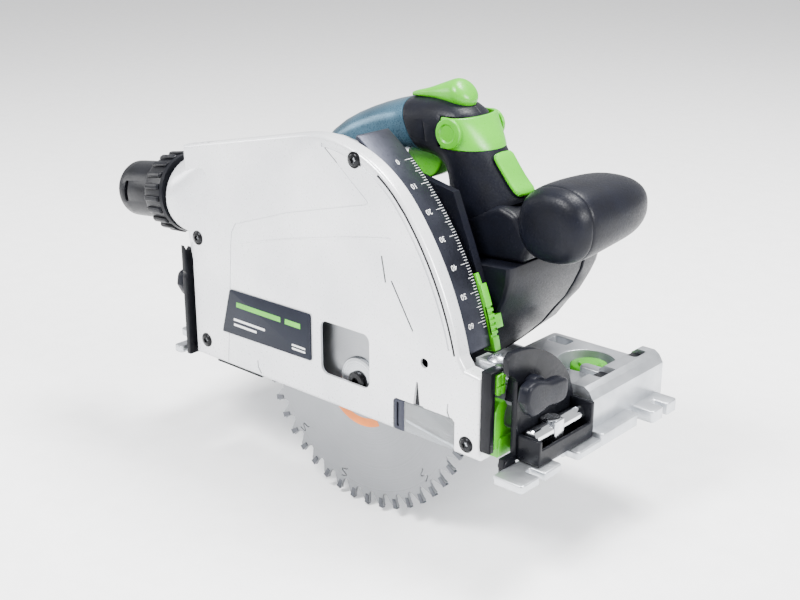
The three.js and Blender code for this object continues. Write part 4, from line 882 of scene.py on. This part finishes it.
def motor_ring(y, grow):
    """Cross-section of the motor housing at one width."""
    points = arc((8.03, 46.7), 37.5 + grow, 200, 285, 14) + [
        (38 + grow, 28 - grow), (48 + grow, 38), (57 + grow, 50 - grow * 0.4), (65 + grow, 60), (71 + grow, 71),
        (75 + grow, 80), (77.4 + grow, 90), (77.8 + grow, 99.6), (40, 97.0), (0, 94.4), (-40, 91.6),
        (-69 - grow, 89.6), (-71.6 - grow, 80), (-72 - grow, 70), (-60 - grow, 60 - grow),
        (-48 - grow, 50 - grow), (-38 - grow, 42 - grow)]
    return [Vector((x, y, z)) for x, z in points]


def build_motor():
    """Motor housing and its slotted end cap."""
    housing = loft("motor_shell", [motor_ring(*at) for at in (
        (50.4, -2.4), (51.6, -0.6), (56, 0.0), (126, 0.0), (129.9, -0.8))])
    settle_soft(housing, 0.8, "saw_unit", "nylon", "motor_housing", segments=3, angle=40)
    cap = loft("motor_rear_cap", [motor_ring(*at) for at in (
        (130.4, -0.6), (131.4, 0.0), (146, -1.2), (153, -4.0), (157.6, -8.0), (159.8, -13.0))])
    boolean(cap, [slab("slot", rounded(x, x + 4, 30, 64, 1.9), 150, 170) for x in (-18, -10, -2, 14, 22, 30)])
    settle_soft(cap, 0.5, "saw_unit", "nylon", "motor_end_cap", angle=45)


def repaint():
    """Finishes for the frame's own nodes that stay as they are."""
    groups = {
        "cast": ("inner_housing", "rear_tilt_plate", "gear_case"),
        "smooth_nylon": ("front_tilt_plate", "cooling_fan", "switch_module"),
        "nylon": ("gear_cover",),
        "turned": ("spindle", "inner_flange", "spindle_gear"),
        "laminate": ("stator", "rotor_core"),
        "copper": ("winding",),
        "zinc": ("plunge_pivot_pin", "plunge_spring", "spindle_bearing_front", "spindle_bearing_rear", "motor_shaft",
                 "motor_bearing_front", "motor_bearing_rear"),
    }
    for finish, names in groups.items():
        for name in names:
            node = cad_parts[name]
            node.data.materials.clear()
            node.data.materials.append(FINISHES[finish])


# ---------------------------------------------------------------- base and bevel gear

def upright(name, x0, x1, y0, y1, corner, z0, z1):
    """Block with round upright corners."""
    return slab(name, rounded(x0, x1, y0, y1, corner, 4), z0, z1, "Z")


def from_rail(rail, side, low, high):
    """Two X values, in order, at distances from a rail's near face."""
    return (rail + low, rail + high) if side > 0 else (rail - high, rail - low)


def rail_profile(near, far, low, high):
    """Cross-section of a rail with one sloping and one rounded shoulder."""
    return [(near, low), (far, low), (far, high - 7), (far - (far - near) * 0.16, high - 2.2),
            (far - (far - near) * 0.34, high), (near + (far - near) * 0.2, high), (near, high - 3)]


def build_base():
    """Cast base: sole, two decks with wheel wells, rails, jaw levers, pockets and feet."""
    sole = upright("cast_sole", -187, 128, 16.5, 147, 3, 0.0, 5.0)
    boolean(sole, [upright("swing", -128.4, 34, 10, 49.5, 2, -1, 8), upright("guard", 96, 111.3, 10, 22, 1, -1, 8),
                   slab("rail_groove", [(-200, 24.5), (140, 24.5), (140, 40), (-200, 40)], -1, 2, "Z")])
    parts = [soften(sole, 0.5, 2, 50)]
    for name, side, deck, well, rail, far, inward in (
            ("front", 1, (46, 110, 68, 146.6), (89.5, 119), 109, 128, 56),
            ("rear", -1, (-168.4, -100, 68, 146.6), (-148.5, 119), -168, -187, -121)):
        body = upright(name + "_deck", *deck, 3, 4.4, 25)
        pockets = [bar("well", well, 18.3, 12, 40, "Z", 64)]
        pockets += [upright("pocket", inward - 6, inward + 9, y0, y1, 2, 9, 40)
                    for y0, y1 in ((73, 84), (88, 99), (132, 142))]
        middle = well[0] - 8 * side
        pockets.append(upright("slot", middle - 9, middle + 9, 74, 100, 2.5, 14, 40))
        parts.append(soften(boolean(body, pockets), 0.9, 3, 50))
        bar_rail = slab(name + "_rail", rail_profile(rail, far, 4.4, 33), 68.2, 146.8)
        boolean(bar_rail, [upright("recess", *from_rail(rail, side, -1.5, 12), 86, 103, 1.5, 20, 40),
                           upright("notch", *from_rail(rail, side, -1.5, 11), 127, 140, 2.5, 28, 40)])
        parts.append(soften(bar_rail, 1.3, 3, 24))
    for x0, x1, y0, y1, high, cleft in (
            (116.4, 137, -12, 26, 5, True), (124, 137, 42, 67, 5, False), (124, 137, 66, 106, 8, False),
            (124, 143, 113, 141, 8, True), (-166, -158, -6, 26, 5, False)):
        foot = upright("foot", x0, x1, y0, y1, 2.2, 0.0, high)
        if cleft:
            middle = (y0 + y1) / 2
            boolean(foot, [upright("cleft", (x0 + x1) / 2, x1 + 9, middle - 2.6, middle + 2.6, 1.2, -1, 12)])
        parts.append(soften(foot, 0.9, 3, 50))
    parts.append(soften(upright("side_rim", -186, 127, 144, 147.2, 1.2, 3, 8), 0.5, 3, 50))
    for x in (104, -163):
        parts.append(soften(upright("jaw_arm", x - 9, x + 9, 101.5, 109.5, 3.0, 20, 28.6), 1.0, 3, 50))
    settle(gather("cast_base_plate", parts), "base", "cast", "base_plate")
    pads = [soften(upright("pad", x0, x1, y0, y1, corner, z0, z1), 0.8, 3, 50)
            for x0, x1, y0, y1, z0, z1, corner in (
                (110.5, 121, 87, 102, 18, 29.6, 1.5), (110, 119.5, 128, 139, 26, 30.6, 2),
                (-180, -169.5, 87, 102, 18, 29.6, 1.5), (-178.5, -169, 128, 139, 26, 30.6, 2))]
    settle(gather("rail_pads", pads), "base", "smooth_nylon")
    for place, (x, y) in {"front": (93, 117), "rear": (-152, 117)}.items():
        outline = [polar((x, y), 12.0 if i % 2 else 11.1, i * 5) for i in range(72)]
        wheel = soften(slab("wheel", outline, 12.6, 24.2, "Z"), 0.35, 2, 60)
        hub = turned("hub", (x, y), [(0, 24), (6.6, 24), (7.2, 24.6), (6.4, 25.8), (0, 25.8)], "Z", 32)
        settle(gather(place + "_thumb_wheel", [wheel, hub]), place + "_wheel_body", "green", place + "_jaw_wheel")


def bracket_outline(place):
    """Outline of a bevel bracket's upright wall, across Y and Z."""
    front_edge = [(0.2, 69), (1.2, 60), (6, 57.5), (9.6, 53), (9.6, 9.6), (-0.8, 9.6), (-0.8, 0.6)]
    rear_edge = [(2.0, 77), (0.2, 74.6), (-2.2, 75.8), (-3.8, 79), (-3.8, 0.6)]
    return ([(10, 0.6), (10, 5.5), (65, 5.5), (65, 30)] + arc(TILT, 67.8, 34, 90, 20)
            + (front_edge if place == "front" else rear_edge))


def build_brackets():
    """Bevel brackets with their trays and wing knobs, and the front guide rod."""
    wing_points = [(0.5, 47), (2.5, 54.8), (9.5, 57), (17, 55), (24, 52.6), (33, 52), (39.2, 49.6), (40, 44),
                   (37.6, 38.2), (30, 37.4), (22, 38.8), (14, 37.2), (6, 38.0), (0.5, 47)]
    for place, near, side in (("front", 112.3, 1), ("rear", -150.9, -1)):
        def across(low, high):
            return sorted((near + side * low, near + side * high))

        def plate(name, outline, low, high):
            return slab(name, outline, *across(low, high), "X")

        def pin(name, centre, radius, low, high, sides=32):
            return bar(name, centre, radius, *across(low, high), "X", sides)

        wall = plate(place + "_wall", bracket_outline(place), 0, 3.7)
        tray = plate("tray", rounded(11, 65, 5.4, 28, 1.0, 3), 3.4, 19)
        boolean(tray, [plate("hollow", rounded(14, 62, 8.3, 60, 0.8, 3), 2.0, 16.6),
                       plate("front", [(14, 15.2), (62, 15.2), (62, 60), (14, 60)], 10, 30),
                       plate("slope", [(8, 21), (16, 21), (16, 60), (8, 60)], 2, 30)])
        boolean(wall, [pin("hole", CLAMP, 4.2, -2, 8)])
        if place == "rear":
            boolean(wall, [pin("joint", (-6.0, 58.4), 3.0, -2, 8)])
        ear = plate("ear", arc(TILT, 5.4, -40, 220, 16) + [(0, 0.8), (8, 0.8)], 3.2, 4.6)
        pieces = [soften(wall, 0.9, 3, 35), soften(tray, 0.9, 3, 40), soften(pin("pin", TILT, 3.0, -2, 4.4), 0.5, 2),
                  soften(ear, 0.4, 2)]
        settle(gather(place + "_bracket", pieces), "base", "smooth_nylon", place + "_bevel_bracket")
        settle(pin("screw", CLAMP, 2.9, -12, 6), "base", "zinc", place + "_clamp_screw")
        wing = [soften(pin("stem", CLAMP, 8.2, 4.1, 10, 48), 0.8),
                soften(plate("wing", curve(wing_points, 4)[:-1], 9.4, 17.4), 2.3, 4, 40)]
        settle(gather(place + "_wing_knob", wing), place + "_knob_body", "nylon", place + "_bevel_knob")
    rod = turned("guide_rod", ROD, [(0, 14.4), (4.0, 14.4), (4.8, 15.2), (4.8, 60.8), (4.0, 61.6), (0, 61.6)],
                 steps=72)
    settle(rod, "base", "chrome", "front_guide_rod")
    clamp = turned("rod_screw", (ROD[0], 35), [(0, 23.6), (4.4, 23.6), (4.4, 24.2), (5.0, 24.6), (5.0, 25.6),
                                               (4.6, 26.0), (0, 26.0)], "Z", 40)
    block = boolean(upright("rod_block", 117.0, 128.2, 30.5, 39.5, 1.2, 10.2, 25.2), [bar("bore", ROD, 4.9, 20, 50)])
    settle(gather("rod_clamp_block", [soften(block, 0.5, 2, 50), clamp]), "base", "milled", "rod_clamp")


def build_guard():
    """Green splinter guard in its black rail, with the green cut pointer over it."""
    face = [(4.3, 10), (7.4, 10), (7.4, 4.2), (20.4, 4.2), (20.4, 18.5), (16.5, 20), (13.6, 23), (12.8, 27), (13.6, 31),
            (16, 34.4), (13.2, 38.2), (8.4, 38.2), (4.3, 33.5)]
    guard = soften(slab("splinter_block", face, 98.4, 105.4, "X"), 0.7, 3, 35)
    rib = soften(slab("rib", rounded(7.6, 19.6, 5.0, 16.6, 1.4, 4), 105.0, 106.4, "X"), 0.5, 2, 40)
    settle(gather("splinter_guard_block", [guard, rib]), "splinter_slide", "green", "splinter_guard")
    rail = slab("guard_rail", [(-0.4, 9), (3.9, 9), (3.9, 56.4), (11.4, 56.4), (11.4, 58.2), (-0.4, 58.2)],
                98.4, 105.4, "X")
    settle_soft(rail, 0.5, "housing", "smooth_nylon", "splinter_guard_rail", angle=40)
    pointer = slab("pointer", rounded(4.3, 11.4, 43.6, 55.7, 1.4, 4), 98.6, 106.6, "X")
    boolean(pointer, [slab("sight", [(7.3, 42), (8.4, 42), (8.4, 60), (7.3, 60)], 106.0, 110, "X"),
                      slab("step", [(4, 48.8), (12, 48.8), (12, 49.6), (4, 49.6)], 105.9, 110, "X")])
    settle_soft(pointer, 0.4, "housing", "green", "cut_pointer", angle=40)
    lug = upright("front_lug", 84, 97, 12.4, 24, 3, 44, 58.0)
    crown = turned("lug_screw", (95, 19), [(0, 57.8), (5.6, 57.8), (6.0, 58.6), (4.4, 60.4), (2.4, 61.0), (2.2, 59.6),
                                          (0, 59.6)], "Z", 40)
    settle_soft(lug, 2.0, "housing", "cast", segments=4, angle=50)
    settle(crown, "housing", "zinc")


# ---------------------------------------------------------------- stage

def build_stage(sizes):
    """Pale floor, soft studio lights and the camera."""
    clear_selection()
    bpy.ops.mesh.primitive_plane_add(size=12.0, location=(0, 0, CAD_BOX[0][2] - 0.001))
    floor = bpy.context.object
    floor.name = "studio_floor"
    floor.data.materials.append(grained("studio_paper", linear("#fbfbfb"), "#f6f6f6", 0.9, 0.05, 4.0, 0.01))
    world = bpy.data.worlds.new("studio_air")
    world.use_nodes = True
    air = world.node_tree.nodes["Background"].inputs
    air["Color"].default_value = linear("#fdfdff")
    air["Strength"].default_value = sizes.air_light
    bpy.context.scene.world = world
    lamps = [("key", (-0.2, -0.9, 1.3), 0.5, 46.0), ("side", (1.5, 0.1, 0.8), 0.5, 40.0),
             ("top", (0.2, 0.5, 1.6), 0.6, 62.0), ("fill", (-1.3, -0.6, 0.5), 0.5, 8.0)]
    for name, at, size, power in lamps:
        light = bpy.data.lights.new(name, "AREA")
        light.size = size
        light.energy = power
        lamp = bpy.data.objects.new(name + "_softbox", light)
        lamp.location = at
        lamp.rotation_euler = (Vector((0, 0, 0.06)) - Vector(at)).to_track_quat("-Z", "Y").to_euler()
        bpy.context.scene.collection.objects.link(lamp)
    lens = bpy.data.cameras.new("studio_lens")
    lens.lens = 55.644
    lens.sensor_width = 36.0
    lens.clip_start = 0.01
    camera = bpy.data.objects.new("studio_camera", lens)
    heading, pitch, roll = [math.radians(angle) for angle in (41.669, 70.21, 0.132)]
    camera.matrix_world = (Matrix.Translation((0.4802, -0.5625, 0.3241)) @ Matrix.Rotation(heading, 4, "Z")
                           @ Matrix.Rotation(pitch, 4, "X") @ Matrix.Rotation(roll, 4, "Z"))
    bpy.context.scene.collection.objects.link(camera)
    bpy.context.scene.camera = camera


# ---------------------------------------------------------------- add-on

class SawSizes(bpy.types.PropertyGroup):
    """Sizes a maker would change."""
    blade_radius: bpy.props.FloatProperty(name="Blade radius", description="Centre to tooth tip", default=0.084,
                                          unit="LENGTH")
    tooth_count: bpy.props.IntProperty(name="Teeth", description="Number of carbide teeth", default=42)
    groove_width: bpy.props.FloatProperty(name="Rim groove", default=0.0022, unit="LENGTH",
                                          description="Width of the groove inside the housing's rim")
    air_light: bpy.props.FloatProperty(name="Air light", description="Strength of the even light all round",
                                       default=1.0)


class SawColours(bpy.types.PropertyGroup):
    """Colours a maker would change."""
    housing: bpy.props.FloatVectorProperty(name="Housing", description="Enamel of the blade housing", size=4,
                                           subtype="COLOR", default=linear("#e9eaec"))
    base: bpy.props.FloatVectorProperty(name="Base", description="Cast base plate", size=4,
                                        subtype="COLOR", default=linear("#cfd2d6"))
    shell: bpy.props.FloatVectorProperty(name="Shells", description="Black nylon of the motor and handles", size=4,
                                         subtype="COLOR", default=linear("#0e1019"))
    grip: bpy.props.FloatVectorProperty(name="Rear grip", description="Blue-grey rear grip shells", size=4,
                                        subtype="COLOR", default=linear("#42667a"))
    control: bpy.props.FloatVectorProperty(name="Controls", description="Green buttons and levers", size=4,
                                           subtype="COLOR", default=linear("#4cb30e"))


class SAW_OT_finishes(bpy.types.Operator):
    """Makes every finish and gives the frame's own nodes theirs"""
    bl_idname = "saw.finishes"
    bl_label = "Finishes"

    def execute(self, context):
        make_finishes(context.scene.saw_colours)
        repaint()
        return {"FINISHED"}


class SAW_OT_housing(bpy.types.Operator):
    """Builds the blade housing with its label, screws and chip guard"""
    bl_idname = "saw.housing"
    bl_label = "Blade housing"

    def execute(self, context):
        build_cover(context.scene.saw_sizes)
        build_label()
        build_screws()
        build_chip_guard()
        return {"FINISHED"}


class SAW_OT_scale(bpy.types.Operator):
    """Builds the depth scale and its stop"""
    bl_idname = "saw.scale"
    bl_label = "Depth scale"

    def execute(self, context):
        build_scale()
        return {"FINISHED"}


class SAW_OT_blade(bpy.types.Operator):
    """Builds the saw blade, its tips, flange and screw"""
    bl_idname = "saw.blade"
    bl_label = "Saw blade"

    def execute(self, context):
        build_blade(context.scene.saw_sizes)
        return {"FINISHED"}


class SAW_OT_port(bpy.types.Operator):
    """Builds the dust port's collar and tube"""
    bl_idname = "saw.port"
    bl_label = "Dust port"

    def execute(self, context):
        build_port()
        return {"FINISHED"}


class SAW_OT_handle(bpy.types.Operator):
    """Builds the main handle with its levers, and the front handle"""
    bl_idname = "saw.handle"
    bl_label = "Handles"

    def execute(self, context):
        build_handle()
        build_front_handle()
        return {"FINISHED"}


class SAW_OT_motor(bpy.types.Operator):
    """Builds the motor housing and its end cap"""
    bl_idname = "saw.motor"
    bl_label = "Motor"

    def execute(self, context):
        build_motor()
        return {"FINISHED"}


class SAW_OT_base(bpy.types.Operator):
    """Builds the base, the bevel brackets, the guide rod and the splinter guard"""
    bl_idname = "saw.base"
    bl_label = "Base and bevel gear"

    def execute(self, context):
        build_base()
        build_brackets()
        build_guard()
        return {"FINISHED"}


class SAW_OT_stage(bpy.types.Operator):
    """Sets the floor, the lights and the camera"""
    bl_idname = "saw.stage"
    bl_label = "Stage"

    def execute(self, context):
        build_stage(context.scene.saw_sizes)
        return {"FINISHED"}


OPERATORS = (SAW_OT_finishes, SAW_OT_housing, SAW_OT_scale, SAW_OT_blade, SAW_OT_port, SAW_OT_handle, SAW_OT_motor,
             SAW_OT_base, SAW_OT_stage)


class SAW_PT_panel(bpy.types.Panel):
    """Lists the saw's sizes, colours and pieces"""
    bl_label = "Plunge saw"
    bl_space_type = "VIEW_3D"
    bl_region_type = "UI"
    bl_category = "Plunge saw"

    def draw(self, context):
        for group in (context.scene.saw_sizes, context.scene.saw_colours):
            for name in group.__annotations__:
                self.layout.prop(group, name)
        for operator in OPERATORS:
            self.layout.operator(operator.bl_idname)


CLASSES = (SawSizes, SawColours) + OPERATORS + (SAW_PT_panel,)


def register():
    for item in CLASSES:
        bpy.utils.register_class(item)
    bpy.types.Scene.saw_sizes = bpy.props.PointerProperty(type=SawSizes)
    bpy.types.Scene.saw_colours = bpy.props.PointerProperty(type=SawColours)


def unregister():
    del bpy.types.Scene.saw_colours
    del bpy.types.Scene.saw_sizes
    for item in reversed(CLASSES):
        bpy.utils.unregister_class(item)


def main():
    register()
    bpy.ops.saw.finishes()
    bpy.ops.saw.housing()
    bpy.ops.saw.scale()
    bpy.ops.saw.blade()
    bpy.ops.saw.port()
    bpy.ops.saw.handle()
    bpy.ops.saw.motor()
    bpy.ops.saw.base()
    bpy.ops.saw.stage()


if __name__ == "__main__":
    main()
